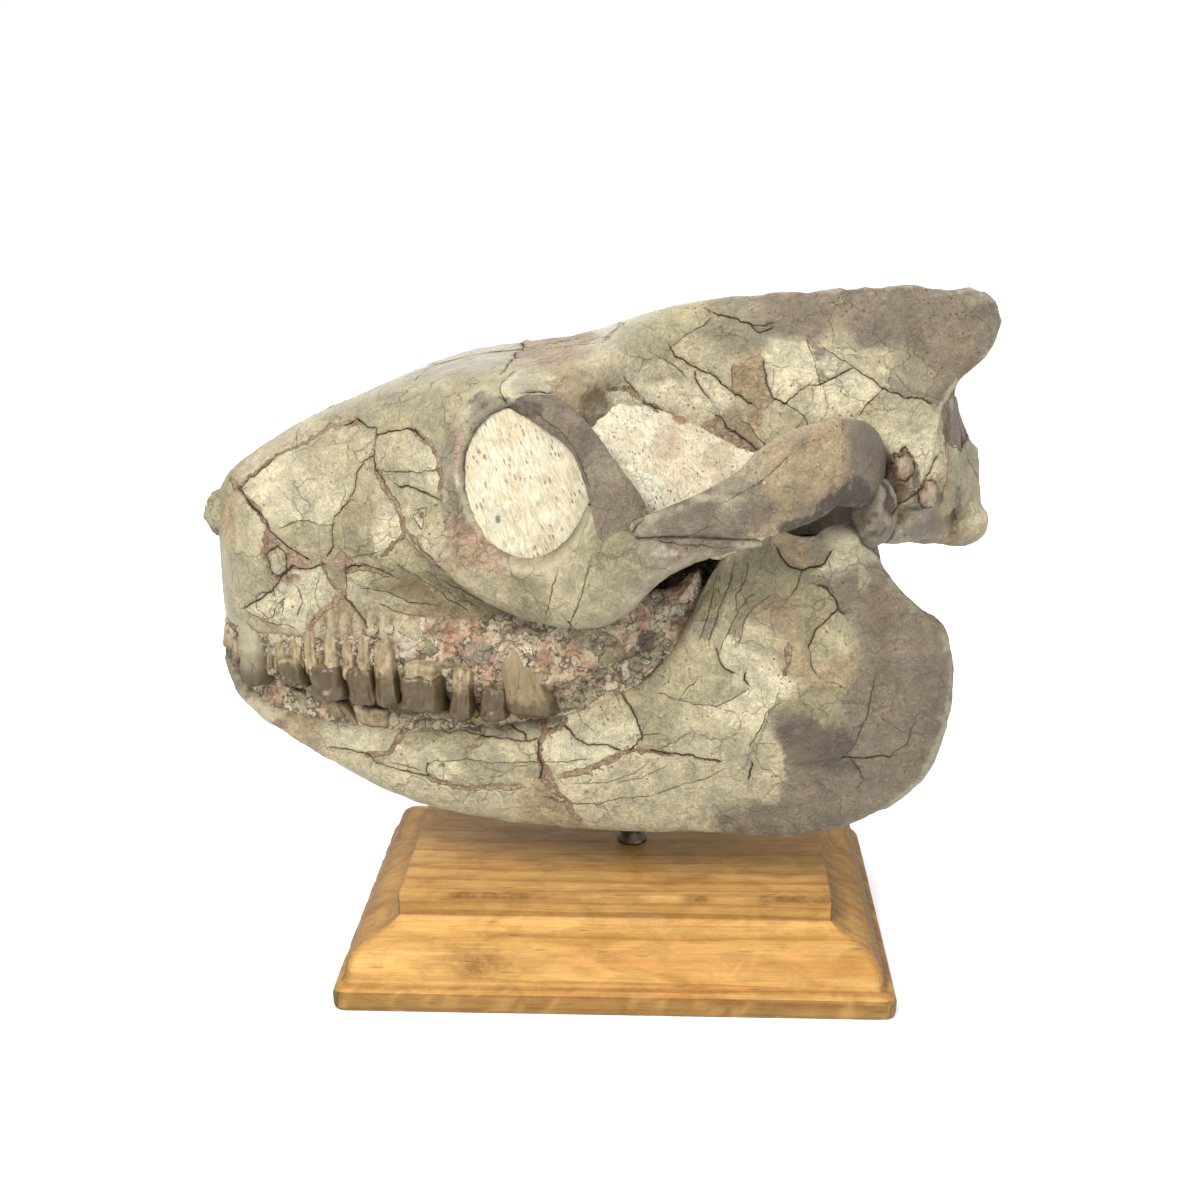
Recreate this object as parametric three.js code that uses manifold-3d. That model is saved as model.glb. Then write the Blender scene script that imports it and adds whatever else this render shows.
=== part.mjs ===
// A fossil oreodont skull, its jaws closed on rock, that stands by a short rod on a moulded wooden base.
// Millimetres, +Z up. The snout points to -X and the left side of the skull faces -Y.
// The origin is the middle of the underside of the base. The cranium is the same on both sides of Y = 0.
import * as THREE from "three";
import { mergeVertices } from "three/addons/utils/BufferGeometryUtils.js";
import Module from "manifold-3d";

const wasm = await Module();
wasm.setup();

// ---------------------------------------------------------------- driving dimensions
const GAP = 0.3; // clearance between neighbouring solids
const CUTTER_GROWTH = GAP * 1.4; // how far a cutting tool's corners move out, a little past the gap
const ROOM = 200; // reach of the blocks that part the skull
const CORNERS = { limb: 8, thinLimb: 6, rock: 10, jaw: 10, tooth: 6, socket: 20, rod: 24 }; // round a section
const SQUARENESS = { limb: 0.85, jaw: 0.8, tooth: 0.7 }; // an oval fills out towards its corners below 1
const CRANIUM_MESH = { around: 18, rows: 21, crowding: 0.07 }; // its rows crowd towards the two ends
const BASE_EDGE = 0.6; // the small bevel round the top of the step
const BASE = { length: 152, width: 102, height: 27.2, step: 16.5, stepFoot: 20.9 };
const ROD = { x: 4, radius: 3.6, foot: 12, top: 64 };
const SKULL = { nose: -109.8, nape: 97.3, muzzleEnd: -44, browEnd: 9, braincaseEnd: 78 };
const ARCH = { cheekFrom: -4, rootAt: 36, barFrom: -20 };

// Edge of the base: inset from its outer edge, height.
const MOULDING = [
  [1, 0], [0, 1.2], [0, 5.6], [0.8, 6.9], [2.4, 7.4], [2.9, 8.6], [3.2, 11], [4.6, 14.2], [7.6, 16.4],
  [11, 17.5], [14, 18.8], [16, 20.2], [BASE.step, BASE.stepFoot],
];

// Guide lines of the cranium, from the nose back. The roof and the floor are x, height on the midline,
// and the lines down its side are x, half width, height.
const ROOF = [
  [-109.8, 133], [-106, 138.5], [-99, 143.8], [-84, 152.4], [-68, 159.6], [-52, 166], [-38, 169.8],
  [-20, 172], [-6, 174.8], [5, 179.3], [16, 182.7], [32, 185.3], [55, 187], [75, 188.2], [83, 187],
  [88, 180], [90.6, 160], [97.3, 144],
];
const BROW = [
  [-109.8, 3, 131.5], [-106, 7, 136.5], [-99, 10, 141.2], [-84, 11.5, 150], [-68, 14, 156.8],
  [-52, 20, 162.5], [-38, 28.5, 165.5], [-20, 35.5, 166], [-6, 30, 168.5], [5, 17, 174],
  [16, 7.5, 178.5], [32, 3.6, 181.5], [60, 3.4, 183.5], [80, 4.4, 182.5], [88, 6.5, 176],
  [90.6, 6.5, 157], [97.3, 3.5, 143],
];
const FLANK = [
  [-109.8, 4.5, 126], [-106, 11, 128.5], [-99, 17.5, 132], [-84, 20, 139], [-68, 22.5, 145],
  [-52, 29, 149], [-38, 37, 150], [-20, 38, 150], [-6, 34, 152], [5, 23, 158], [16, 15.5, 163],
  [32, 14.5, 166.5], [60, 18.5, 166], [78, 17, 161], [88, 13, 155], [90.6, 10, 149], [97.3, 5.5, 139],
];
const CHEEK = [
  [-109.8, 5, 116], [-106, 13, 117], [-99, 20.5, 118], [-84, 23.5, 122], [-68, 26, 127], [-52, 32, 131],
  [-38, 38, 132.5], [-20, 39, 132], [-6, 35, 134], [5, 26, 139], [16, 20, 146], [32, 23, 149],
  [58, 30, 147], [75, 29, 144.5], [88, 23, 140], [90.6, 18, 138], [97.3, 8, 134],
];
const HOLLOW = [
  [-109.8, 5.5, 108], [-106, 13.5, 108.5], [-99, 20.5, 109], [-84, 23.5, 111], [-68, 25, 113],
  [-52, 27, 113], [-38, 28.5, 113.5], [-20, 29, 114], [-6, 27.5, 115], [5, 23, 121], [16, 18, 130],
  [32, 19, 134], [58, 24.5, 133], [75, 26, 132], [88, 20, 130], [90.6, 15.5, 129], [97.3, 7, 130],
];
const GUM = [
  [-109.8, 5, 97], [-106, 13, 97.5], [-99, 20.5, 98.5], [-84, 25, 98], [-68, 28, 98.5], [-52, 31, 98.5],
  [-38, 33, 98.5], [-20, 34, 98], [-6, 33, 98], [4, 26, 104], [16, 14, 118], [32, 14, 124],
  [58, 17, 125.5], [75, 19, 124], [88, 16, 123.5], [90.6, 12, 124], [97.3, 4.5, 127],
];
const FLOOR = [
  [-109.8, 99], [-84, 103], [-38, 105.5], [-6, 108], [5, 112], [16, 117], [55, 121], [88, 122],
  [97.3, 126.5],
];

// Limbs of one side, each a run of stations: x, half width, height, half depth, half thickness.
const ORBIT_RIM = [
  [-14, 32, 167, 2.2, 2.4], [-23, 35.5, 165.5, 3, 3], [-32, 36, 160, 3, 3.4], [-37.4, 38, 150, 2.8, 3.6],
  [-36.6, 40.5, 138, 2.8, 4], [-28, 43, 127, 3, 4], [-14, 46, 122.5, 3, 4], [-4.5, 47.5, 127.5, 3, 4.4],
  [0, 48, 135, 2.6, 3.4],
];
const JUGAL = [
  [-50, 31, 130, 3, 4], [-40, 36, 126, 6, 6], [-28, 40.5, 120.5, 8.2, 6], [-15, 45.5, 118.3, 9.3, 5.6],
  [-4, 49, 120.5, 10.6, 4.8], [6, 52, 127, 8.4, 3.8], [16, 54.5, 131, 5, 3.2],
  [27, 56.3, 133.2, 2.6, 2.6], [38, 57, 134.2, 1.4, 1.6],
];
const SQUAMOSAL = [
  [6, 54.5, 136.4, 1.8, 2], [15, 56.2, 139, 3.6, 2.8], [26, 58, 141.4, 6.3, 3],
  [36, 58.3, 144.4, 9.4, 3.2], [45, 57, 149.4, 11.6, 3.8], [53, 52.5, 152, 10.8, 5],
  [59.5, 45, 150.5, 10.5, 6.5], [62.5, 35, 147, 10.5, 7.5], [64, 22, 144, 9, 7],
];
const ORBIT_BAR = [
  [-28, 26, 164, 4, 4], [-19, 34, 164, 5.4, 3.6], [-8, 41, 158, 4.4, 3.4], [-1.5, 45.5, 149, 4.4, 3.2],
  [3.5, 49, 139, 5.6, 3.6], [6, 50.5, 130, 6.5, 3.6],
];
const NUCHAL_WING = [
  [89, 0, 183.2, 9.5, 5], [91.6, 4.5, 179, 9.8, 5.4], [88, 8, 173, 9.6, 5], [82, 11.5, 166, 8.6, 4.6],
  [79, 16, 158, 8, 4.4], [76, 22, 150, 7.6, 4.2], [74, 27.5, 142, 7.2, 4.2], [73.5, 30, 134, 6, 4.4],
];
// The rock in the temple, a slab that slopes out and down from the braincase to the arch.
const TEMPLE_ROCK = [
  [-9, 30, 150, 8, 5], [0, 29, 147, 18, 9], [10, 28, 145, 23, 11], [20, 29, 143, 23, 11.5],
  [30, 32, 141, 20, 11], [40, 36, 140, 15, 9.5], [50, 38, 140, 9, 7],
];

// Rounded lumps of one side: middle, half sizes.
const CONDYLE = { at: [90.5, 11, 126.6], size: [9, 7.4, 6.8] };
const POSTGLENOID = { at: [66, 36, 136], size: [5, 8, 10] };
const MASTOID = { at: [76.5, 28.5, 131.5], size: [7, 6, 8] };
const NARES = { at: [-105.8, 0, 126.4], size: [8.4, 9, 8.2] };

// The eye socket's rock filling: middle, half length and height, how far its face leans down and back,
// how much wider its top is, and the sizes of its inner end and its face.
const ORBIT_FILL = {
  at: [-20, 0, 145], length: 15, height: 18, depth: 24, edge: 1.2, face: 39.6, leanDown: 0.2, leanBack: 0.1,
  topWider: 0.12, innerSize: 0.9, faceSize: 0.92, socketProud: 9,
};

// Stations of one half of the lower jaw: x, lower edge, upper edge, half width of its middle, half thickness.
const JAW = [
  [-110.8, 84, 89.5, 3.4, 3.2], [-106.5, 77.2, 87, 7, 6.8], [-99.5, 71.4, 81, 9.6, 9.4],
  [-87, 65, 76.6, 12, 11.8], [-79, 60.6, 74.6, 15.5, 10.5], [-72, 57.2, 73.8, 19.6, 8],
  [-57, 51.6, 73, 23.2, 7.6], [-42, 48.6, 74.2, 25.5, 7.5], [-28, 46.6, 76.5, 27.4, 7.5],
  [-13, 45.8, 81, 29.4, 7.3], [1, 45.9, 88, 31, 7], [9, 46, 93, 32, 6.8], [17, 46.3, 102, 33, 6.4],
  [24, 46.6, 116, 34, 6], [31, 46.5, 129, 35, 5.6], [38, 46.3, 133.5, 35.6, 5.2],
  [47, 46.6, 130, 36, 5.4], [58, 49.2, 129.3, 36.4, 5.8], [65, 52, 123, 36.6, 5.2],
  [73, 56.6, 115, 36.8, 4.8], [79.5, 62.4, 110.6, 37, 4.4], [85, 71.5, 105, 37, 3.4],
  [87.4, 82, 96, 37, 1.8],
];
// The right half is worn shorter at its rear: where that starts, and the share of the length that is left.
const RIGHT_ANGLE = { from: 52, share: 0.78 };
// Rock between the two halves of the jaw and the palate: x, lowest, highest, half width.
const CORE = [
  [-106, 84, 98, 3.5], [-99, 79, 101, 7], [-88, 74, 104, 9.5], [-76, 66, 106, 10], [-62, 61, 107, 12.5],
  [-40, 56, 108, 17], [-15, 55, 111, 20], [10, 56, 116, 23], [34, 61, 120, 25], [52, 74, 121.5, 23],
  [62, 92, 120, 15],
];

// Teeth of one side: x of the middle, half width of the row, half length, half thickness, height of the tip.
const UPPER_TEETH = [
  [-107.8, 6, 2.8, 3, 87.5], [-105.2, 12, 2.8, 3, 86.5], [-98.3, 19, 3.6, 4, 80.5],
  [-86.8, 23, 3.2, 3.2, 84.3], [-76.6, 25.2, 4, 3.6, 83.8], [-66.6, 27.4, 4.6, 3.8, 83.2],
  [-57, 29, 4.2, 4, 83], [-48.8, 30.8, 4.6, 4.8, 81.8], [-37.2, 32, 6, 5.2, 80],
  [-23, 32.8, 7.4, 5.2, 82.8], [-8.6, 32.2, 6.2, 4.6, 90],
];
const LOWER_TEETH = [
  [-107, 4.4, 2.4, 2.4, 86], [-102.4, 9, 2.6, 2.6, 84.6], [-93, 14, 3.6, 3.2, 86],
  [-82, 16.2, 3.6, 2.8, 86], [-72, 18, 4, 2.8, 86], [-62, 20, 4.4, 2.8, 86.5], [-51.4, 22, 5.2, 3, 87],
  [-38.6, 23, 6.2, 3.2, 87.5], [-22, 24, 8.4, 3, 91], [-6, 24.6, 5.4, 3, 95],
];

// Heights of the roots, in the front teeth and behind them.
const UPPER_ROOT = { front: 100, frontEnd: -100, rear: 103 };
const LOWER_ROOT = { front: 77, frontEnd: -90, rear: 71 };
// Width of a crown from its root to its biting edge: share of its height, share of its width.
const UPPER_CROWN = [[0, 1], [0.75, 0.95], [1, 0.6]];
const LOWER_CROWN = [[0, 1], [1, 0.75]];

// ---------------------------------------------------------------- materials
function finish(color, roughness, metalness = 0) {
  return new THREE.MeshStandardMaterial({ color, roughness, metalness });
}
const bone = finish(0xb9b093, 0.55);
const restoredBone = finish(0x8f8477, 0.6);
const chalk = finish(0xe3dac0, 0.95);
const matrix = finish(0xc9ae96, 0.9);
const pine = finish(0xc2924f, 0.5);
const darkSteel = finish(0x3c3a35, 0.4, 0.9);

// ---------------------------------------------------------------- curves
// A smooth function through rows of [position, value, value ...].
function smooth(rows) {
  const positions = rows.map((row) => row[0]);
  const values = rows.flatMap((row) => row.slice(1));
  const curve = new THREE.CubicInterpolant(positions, values, rows[0].length - 1);
  const [first, last] = [positions[0], positions[positions.length - 1]];
  return (at) => Array.from(curve.evaluate(THREE.MathUtils.clamp(at, first, last)));
}

// ---------------------------------------------------------------- solids
function solidOf(geometry) {
  const bare = new THREE.BufferGeometry();
  bare.setAttribute("position", geometry.getAttribute("position"));
  bare.setIndex(geometry.index);
  const merged = mergeVertices(bare, 1e-3);
  const vertProperties = new Float32Array(merged.attributes.position.array);
  const triVerts = new Uint32Array(merged.index.array);
  const solid = new wasm.Manifold(new wasm.Mesh({ numProp: 3, vertProperties, triVerts }));
  if (solid.volume() > 0) return solid;
  const turned = new Uint32Array(triVerts).reverse();
  return new wasm.Manifold(new wasm.Mesh({ numProp: 3, vertProperties, triVerts: turned }));
}

function geometryOf(solid) {
  const mesh = solid.getMesh();
  const corners = [];
  for (let i = 0; i < mesh.numVert; i++) {
    corners.push(...mesh.vertProperties.subarray(i * mesh.numProp, i * mesh.numProp + 3));
  }
  const geometry = new THREE.BufferGeometry();
  geometry.setAttribute("position", new THREE.Float32BufferAttribute(corners, 3));
  geometry.setIndex(Array.from(mesh.triVerts));
  return geometry;
}

// The solid with every corner moved out a little past the gap, to cut a neighbour with.
function grown(solid) {
  const geometry = mergeVertices(geometryOf(solid), 1e-4);
  geometry.computeVertexNormals();
  const { position, normal } = geometry.attributes;
  const corner = new THREE.Vector3();
  const outward = new THREE.Vector3();
  for (let i = 0; i < position.count; i++) {
    outward.fromBufferAttribute(normal, i);
    corner.fromBufferAttribute(position, i).addScaledVector(outward, CUTTER_GROWTH);
    position.setXYZ(i, corner.x, corner.y, corner.z);
  }
  return solidOf(geometry);
}

const joined = (...solids) => solids.reduce((whole, solid) => whole.add(solid));
const cut = (solid, ...tools) => tools.reduce((left, tool) => left.subtract(tool), solid);
const largest = (solid) => solid.decompose().reduce((a, b) => (a.volume() > b.volume() ? a : b));

function block([x0, y0, z0], [x1, y1, z1]) {
  const box = new THREE.BoxGeometry(x1 - x0, y1 - y0, z1 - z0);
  return solidOf(box.translate((x0 + x1) / 2, (y0 + y1) / 2, (z0 + z1) / 2));
}
const alongX = (solid, from, to) => solid.intersect(block([from, -ROOM, -ROOM], [to, ROOM, ROOM]));

function knob({ at, size }, side = 1, around = 8, rows = 6) {
  const ball = new THREE.SphereGeometry(1, around, rows).scale(...size);
  return solidOf(ball.translate(at[0], at[1] * side, at[2]));
}

function upright(radius, foot, top, x) {
  const shaft = new THREE.CylinderGeometry(radius, radius, top - foot, CORNERS.rod).rotateX(Math.PI / 2);
  return solidOf(shaft.translate(x, 0, (foot + top) / 2));
}

// A closed skin over rings of equal count, each end closed on its ring's middle.
function skin(rings) {
  const around = rings[0].length;
  const rows = rings.length + 1;
  const middle = (ring) => ring.reduce((sum, p) => sum.add(p), new THREE.Vector3()).divideScalar(around);
  const ends = { 0: middle(rings[0]), [rows]: middle(rings[rings.length - 1]) };
  const sheet = new THREE.SphereGeometry(1, around, rows);
  const { position } = sheet.attributes;
  for (let i = 0; i < position.count; i++) {
    const row = Math.floor(i / (around + 1));
    const column = (i % (around + 1)) % around;
    const p = row in ends ? ends[row] : rings[row - 1][column];
    position.setXYZ(i, p.x, p.y, p.z);
  }
  return solidOf(sheet);
}

// Points round an oval whose corners fill out as squareness falls below 1.
function oval(count, squareness, place) {
  const spread = (value) => Math.sign(value) * Math.abs(value) ** squareness;
  return Array.from({ length: count }, (_, index) => {
    const angle = (2 * Math.PI * index) / count;
    return place(spread(Math.cos(angle)), spread(Math.sin(angle)));
  });
}

// A limb along its stations. Its depth lies as near to the given direction as its run allows.
function limb(stations, side, depthAlong, around = CORNERS.limb) {
  const spine = stations.map(([x, y, z]) => new THREE.Vector3(x, y * side, z));
  const rings = stations.map(([, , , depth, thickness], index) => {
    const before = spine[Math.max(index - 1, 0)];
    const after = spine[Math.min(index + 1, spine.length - 1)];
    const ahead = after.clone().sub(before).normalize();
    const deep = depthAlong.clone().projectOnPlane(ahead).normalize();
    const thin = ahead.cross(deep);
    return oval(around, SQUARENESS.limb, (across, along) =>
      spine[index].clone().addScaledVector(thin, across * thickness).addScaledVector(deep, along * depth));
  });
  return skin(rings);
}

// ---------------------------------------------------------------- cranium
const ALONG = new THREE.Vector3(1, 0, 0);
const OUTWARD = new THREE.Vector3(0, 1, 0);
const UP = new THREE.Vector3(0, 0, 1);

function craniumShell() {
  const { around, rows, crowding } = CRANIUM_MESH;
  const [roof, floor] = [smooth(ROOF), smooth(FLOOR)];
  const lines = [BROW, FLANK, CHEEK, HOLLOW, GUM].map(smooth);
  const rings = Array.from({ length: rows + 1 }, (_, row) => {
    const share = row / rows - crowding * Math.sin((2 * Math.PI * row) / rows);
    const x = THREE.MathUtils.lerp(SKULL.nose, SKULL.nape, share);
    const flank = lines.map((line) => line(x));
    const left = flank.map(([y, z]) => new THREE.Vector3(x, -y, z));
    const right = flank.map(([y, z]) => new THREE.Vector3(x, y, z)).reverse();
    const top = new THREE.Vector3(x, 0, roof(x)[0]);
    const bottom = new THREE.Vector3(x, 0, floor(x)[0]);
    const section = new THREE.CatmullRomCurve3([top, ...left, bottom, ...right], true, "centripetal");
    return section.getSpacedPoints(around).slice(0, around);
  });
  return skin(rings);
}

// One row of crowns. Each stands from its root to its tip and narrows at the biting edge.
function toothRow(teeth, crown, root, side) {
  return teeth.map(([x, y, length, thickness, tip]) => {
    return skin(crown.map(([rise, width]) =>
      oval(CORNERS.tooth, SQUARENESS.tooth, (along, across) => new THREE.Vector3(
        x + along * length * width,
        (y + across * thickness * width) * side,
        THREE.MathUtils.lerp(x < root.frontEnd ? root.front : root.rear, tip, rise),
      ))));
  });
}

// The filling of one eye socket, an upright egg whose outer face leans with the rim.
function orbitFill(side, clearance = 0, proud = 0) {
  const { at, length, height, depth, edge, face, leanDown, leanBack } = ORBIT_FILL;
  const { topWider, innerSize, faceSize } = ORBIT_FILL;
  const ring = (inset, size) => oval(CORNERS.socket, 1, (along, rise) => {
    const x = at[0] + along * (length * size + clearance) * (1 + topWider * rise);
    const z = at[2] + rise * (height * size + clearance);
    const y = face - inset + (at[2] - z) * leanDown + (x - at[0]) * leanBack;
    return new THREE.Vector3(x, y * side, z);
  });
  return skin([ring(depth + clearance, innerSize), ring(edge, 1), ring(-proud, proud ? 1 : faceSize)]);
}

const nares = knob(NARES);
const sides = [{ name: "left", side: -1 }, { name: "right", side: 1 }];

const limbs = sides.map(({ name, side }) => ({
  name,
  side,
  rim: limb(ORBIT_RIM, side, OUTWARD, CORNERS.thinLimb),
  jugal: limb(JUGAL, side, UP),
  squamosal: limb(SQUAMOSAL, side, UP),
  bar: limb(ORBIT_BAR, side, ALONG, CORNERS.thinLimb),
  fill: orbitFill(side),
  socket: orbitFill(side, GAP, ORBIT_FILL.socketProud),
}));

// The pieces of bone that make up the cranium, each a smooth solid of its own.
function craniumPieces() {
  const inner = block([-ROOM, -ARCH.rootAt, -ROOM], [ROOM, ARCH.rootAt, ROOM]);
  const lumps = limbs.flatMap(({ side, rim, jugal, squamosal, bar }) => [
    rim,
    alongX(jugal, -ROOM, ARCH.cheekFrom),
    alongX(bar, -ROOM, ARCH.barFrom),
    squamosal.intersect(inner),
    limb(NUCHAL_WING, side, ALONG),
    knob(CONDYLE, side),
    knob(MASTOID, side),
    knob(POSTGLENOID, side).intersect(inner),
    ...toothRow(UPPER_TEETH, UPPER_CROWN, UPPER_ROOT, side),
  ]);
  return [craniumShell(), ...lumps];
}

// ---------------------------------------------------------------- lower jaw and the rock in it
function jawPieces(side) {
  const { from, share } = RIGHT_ANGLE;
  const shortened = (x) => (side > 0 && x > from ? from + (x - from) * share : x);
  const rings = JAW.map(([x, low, high, middle, thickness]) =>
    oval(CORNERS.jaw, SQUARENESS.jaw, (across, rise) => new THREE.Vector3(
      shortened(x),
      Math.max(middle + across * thickness, GAP / 2) * side,
      (low + high) / 2 + (rise * (high - low)) / 2,
    )));
  return [skin(rings), ...toothRow(LOWER_TEETH, LOWER_CROWN, LOWER_ROOT, side)];
}

function rockCore() {
  return skin(CORE.map(([x, low, high, width]) =>
    oval(CORNERS.rock, SQUARENESS.jaw, (across, rise) =>
      new THREE.Vector3(x, across * width, (low + high) / 2 + (rise * (high - low)) / 2))));
}

// ---------------------------------------------------------------- base
function baseSolid() {
  const top = BASE.height;
  const profile = [...MOULDING, [BASE.step, top - BASE_EDGE], [BASE.step + BASE_EDGE, top]];
  const corners = [[-1, -1], [1, -1], [1, 1], [-1, 1]];
  const [halfLength, halfWidth] = [BASE.length / 2, BASE.width / 2];
  const rings = profile.map(([inset, z]) =>
    corners.map(([x, y]) => new THREE.Vector3(x * (halfLength - inset), y * (halfWidth - inset), z)));
  return cut(skin(rings), upright(ROD.radius + GAP, ROD.foot - GAP, ROOM, ROD.x));
}

// ---------------------------------------------------------------- assembly
const group = new THREE.Group();

function add(name, solid, material) {
  const mesh = new THREE.Mesh(geometryOf(largest(solid)), material);
  mesh.name = name;
  group.add(mesh);
}

const pieces = craniumPieces();
const sockets = joined(grown(nares), ...limbs.map(({ socket }) => socket));
const cranium = joined(...pieces).subtract(sockets);
const craniumTool = joined(...pieces.map((piece) => grown(piece)));
const half = GAP / 2;
add("skull_muzzle", alongX(cranium, -ROOM, SKULL.muzzleEnd - half), bone);
add("skull_brow", alongX(cranium, SKULL.muzzleEnd + half, SKULL.browEnd - half), bone);
add("skull_braincase", alongX(cranium, SKULL.browEnd + half, SKULL.braincaseEnd - half), bone);
add("skull_nape", alongX(cranium, SKULL.braincaseEnd + half, ROOM), bone);
add("nares_rock", nares, matrix);

const jawTools = [];
for (const { name, side, jugal, squamosal, bar, fill, socket } of limbs) {
  const inner = block([-ROOM, -ARCH.rootAt - GAP, -ROOM], [ROOM, ARCH.rootAt + GAP, ROOM]);
  const arch = cut(squamosal, inner, craniumTool);
  const cheek = cut(alongX(jugal, ARCH.cheekFrom + GAP, ROOM), grown(squamosal), craniumTool);
  const freeBar = alongX(bar, ARCH.barFrom + GAP, ROOM);
  const strut = cut(freeBar, grown(squamosal), grown(jugal), craniumTool, socket);
  const jawParts = jawPieces(side);
  const jaw = cut(joined(...jawParts), craniumTool, grown(nares));
  const jawTool = joined(...jawParts.map((piece) => grown(piece)));
  const arches = joined(socket, ...[squamosal, jugal, bar].map((piece) => grown(piece)));
  const slab = limb(TEMPLE_ROCK, side, new THREE.Vector3(0, side, -1), CORNERS.rock);
  const temple = cut(slab, arches, craniumTool, jawTool);
  jawTools.push(jawTool);
  add(`arch_${name}`, arch, restoredBone);
  add(`cheek_${name}`, cheek, bone);
  add(`orbit_bar_${name}`, strut, restoredBone);
  add(`orbit_rock_${name}`, fill, chalk);
  add(`temple_rock_${name}`, temple, chalk);
  add(`jaw_${name}`, jaw, bone);
}

const bore = upright(ROD.radius + GAP, ROD.foot, ROD.top + GAP, ROD.x);
add("jaw_rock", cut(rockCore(), craniumTool, ...jawTools, bore), matrix);
add("stand_base", baseSolid(), pine);
add("stand_rod", upright(ROD.radius, ROD.foot, ROD.top, ROD.x), darkSteel);

export default group;
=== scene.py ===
import heapq
import math
import random

import bmesh
import bpy
import numpy as np
from mathutils import Matrix, Vector, kdtree, noise
from mathutils.bvhtree import BVHTree


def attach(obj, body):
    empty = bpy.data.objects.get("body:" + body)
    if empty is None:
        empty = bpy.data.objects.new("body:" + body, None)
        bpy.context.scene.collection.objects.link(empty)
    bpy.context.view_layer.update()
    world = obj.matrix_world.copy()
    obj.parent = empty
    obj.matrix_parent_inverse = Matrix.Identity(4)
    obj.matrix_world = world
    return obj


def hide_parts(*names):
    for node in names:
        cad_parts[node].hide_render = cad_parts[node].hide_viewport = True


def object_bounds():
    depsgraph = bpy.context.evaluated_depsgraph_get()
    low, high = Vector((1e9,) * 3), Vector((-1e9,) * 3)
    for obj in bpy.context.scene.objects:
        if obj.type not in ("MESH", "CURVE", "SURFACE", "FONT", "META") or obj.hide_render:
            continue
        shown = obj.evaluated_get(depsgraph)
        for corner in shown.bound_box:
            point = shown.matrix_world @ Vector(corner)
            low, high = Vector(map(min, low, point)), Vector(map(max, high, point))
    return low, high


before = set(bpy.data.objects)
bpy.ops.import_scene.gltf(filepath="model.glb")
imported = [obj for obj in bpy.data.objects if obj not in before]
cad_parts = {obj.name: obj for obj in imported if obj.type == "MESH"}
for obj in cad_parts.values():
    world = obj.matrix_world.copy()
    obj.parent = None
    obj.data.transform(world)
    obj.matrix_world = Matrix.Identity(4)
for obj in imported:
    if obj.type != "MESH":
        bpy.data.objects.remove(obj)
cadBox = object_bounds()
coarse = 1.0
unit = 1000  # millimetres in one unit of Blender, a metre
paintStrength = 0.33  # the share of each named colour that a surface sends back


# Camera, lights and floor. Lengths are in millimetres.
# Each lamp aims at a height above the middle of the base.

view = {"place": (17.14, -411.57, 235.12), "turn": 3.02, "tilt": 18.02, "roll": -0.68, "lens": 46.5}
lamps = {
    "key": {"place": (-260, -560, 640), "aim": 110, "size": 380, "watts": 12.9, "color": (1.0, 0.985, 0.96)},
    "top": {"place": (40, 60, 760), "aim": 90, "size": 700, "watts": 3.6, "color": (1.0, 0.99, 0.975)},
    "fill": {"place": (420, -520, 260), "aim": 100, "size": 500, "watts": 2.4, "color": (0.98, 0.99, 1.0)},
    "rear": {"place": (-120, 620, 420), "aim": 100, "size": 600, "watts": 2.0, "color": (1.0, 1.0, 1.0)},
}
surround = {"color": (1.0, 1.0, 1.0), "strength": 1.02}


def setCamera():
    turn, tilt, roll = (math.radians(view[key]) for key in ("turn", "tilt", "roll"))
    ahead = Vector((-math.sin(turn), math.cos(turn), 0))
    right = Vector((math.cos(turn), math.sin(turn), 0))
    forward = ahead * math.cos(tilt) - Vector((0, 0, math.sin(tilt)))
    up = ahead * math.sin(tilt) + Vector((0, 0, math.cos(tilt)))
    axisX = right * math.cos(roll) + up * math.sin(roll)
    axisY = up * math.cos(roll) - right * math.sin(roll)
    data = bpy.data.cameras.new("camera")
    data.lens = view["lens"]
    data.sensor_width = 36
    data.clip_start = 0.01
    camera = bpy.data.objects.new("camera", data)
    bpy.context.scene.collection.objects.link(camera)
    place = Matrix((axisX, axisY, -forward)).transposed().to_4x4()
    place.translation = Vector(view["place"]) / unit
    camera.matrix_world = place
    bpy.context.scene.camera = camera


def setLamp(name, lamp):
    data = bpy.data.lights.new(name, "AREA")
    data.shape = "DISK"
    data.size = lamp["size"] / unit
    data.energy = lamp["watts"]
    data.color = lamp["color"]
    obj = bpy.data.objects.new(name, data)
    bpy.context.scene.collection.objects.link(obj)
    place = Vector(lamp["place"]) / unit
    aim = Vector((0, 0, lamp["aim"])) / unit - place
    obj.matrix_world = Matrix.Translation(place) @ aim.to_track_quat("-Z", "Y").to_matrix().to_4x4()


def setSurround():
    world = bpy.data.worlds.new("studio")
    world.use_nodes = True
    back = world.node_tree.nodes["Background"]
    back.inputs["Color"].default_value = (*surround["color"], 1)
    back.inputs["Strength"].default_value = surround["strength"]
    bpy.context.scene.world = world
    bpy.context.scene.view_settings.view_transform = "Standard"


setCamera()
setSurround()
for lampName, lampSettings in lamps.items():
    setLamp(lampName, lampSettings)
print("camera and lights set")


# Small helpers for nodes and meshes.


def plug(made, inputs):
    for key, value in inputs.items():
        if isinstance(value, bpy.types.NodeSocket):
            made.id_data.links.new(value, made.inputs[key])
        else:
            made.inputs[key].default_value = value


def node(tree, kind, inputs, **settings):
    made = tree.nodes.new(kind)
    for key, value in settings.items():
        setattr(made, key, value)
    plug(made, inputs)
    return made


def linear(rgb):
    return tuple((c / 255 / 12.92) if c <= 10 else ((c / 255 + 0.055) / 1.055) ** 2.4 for c in rgb)


def paint(rgb, lift=1.0):
    return tuple(c * paintStrength * lift for c in linear(rgb))


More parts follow.
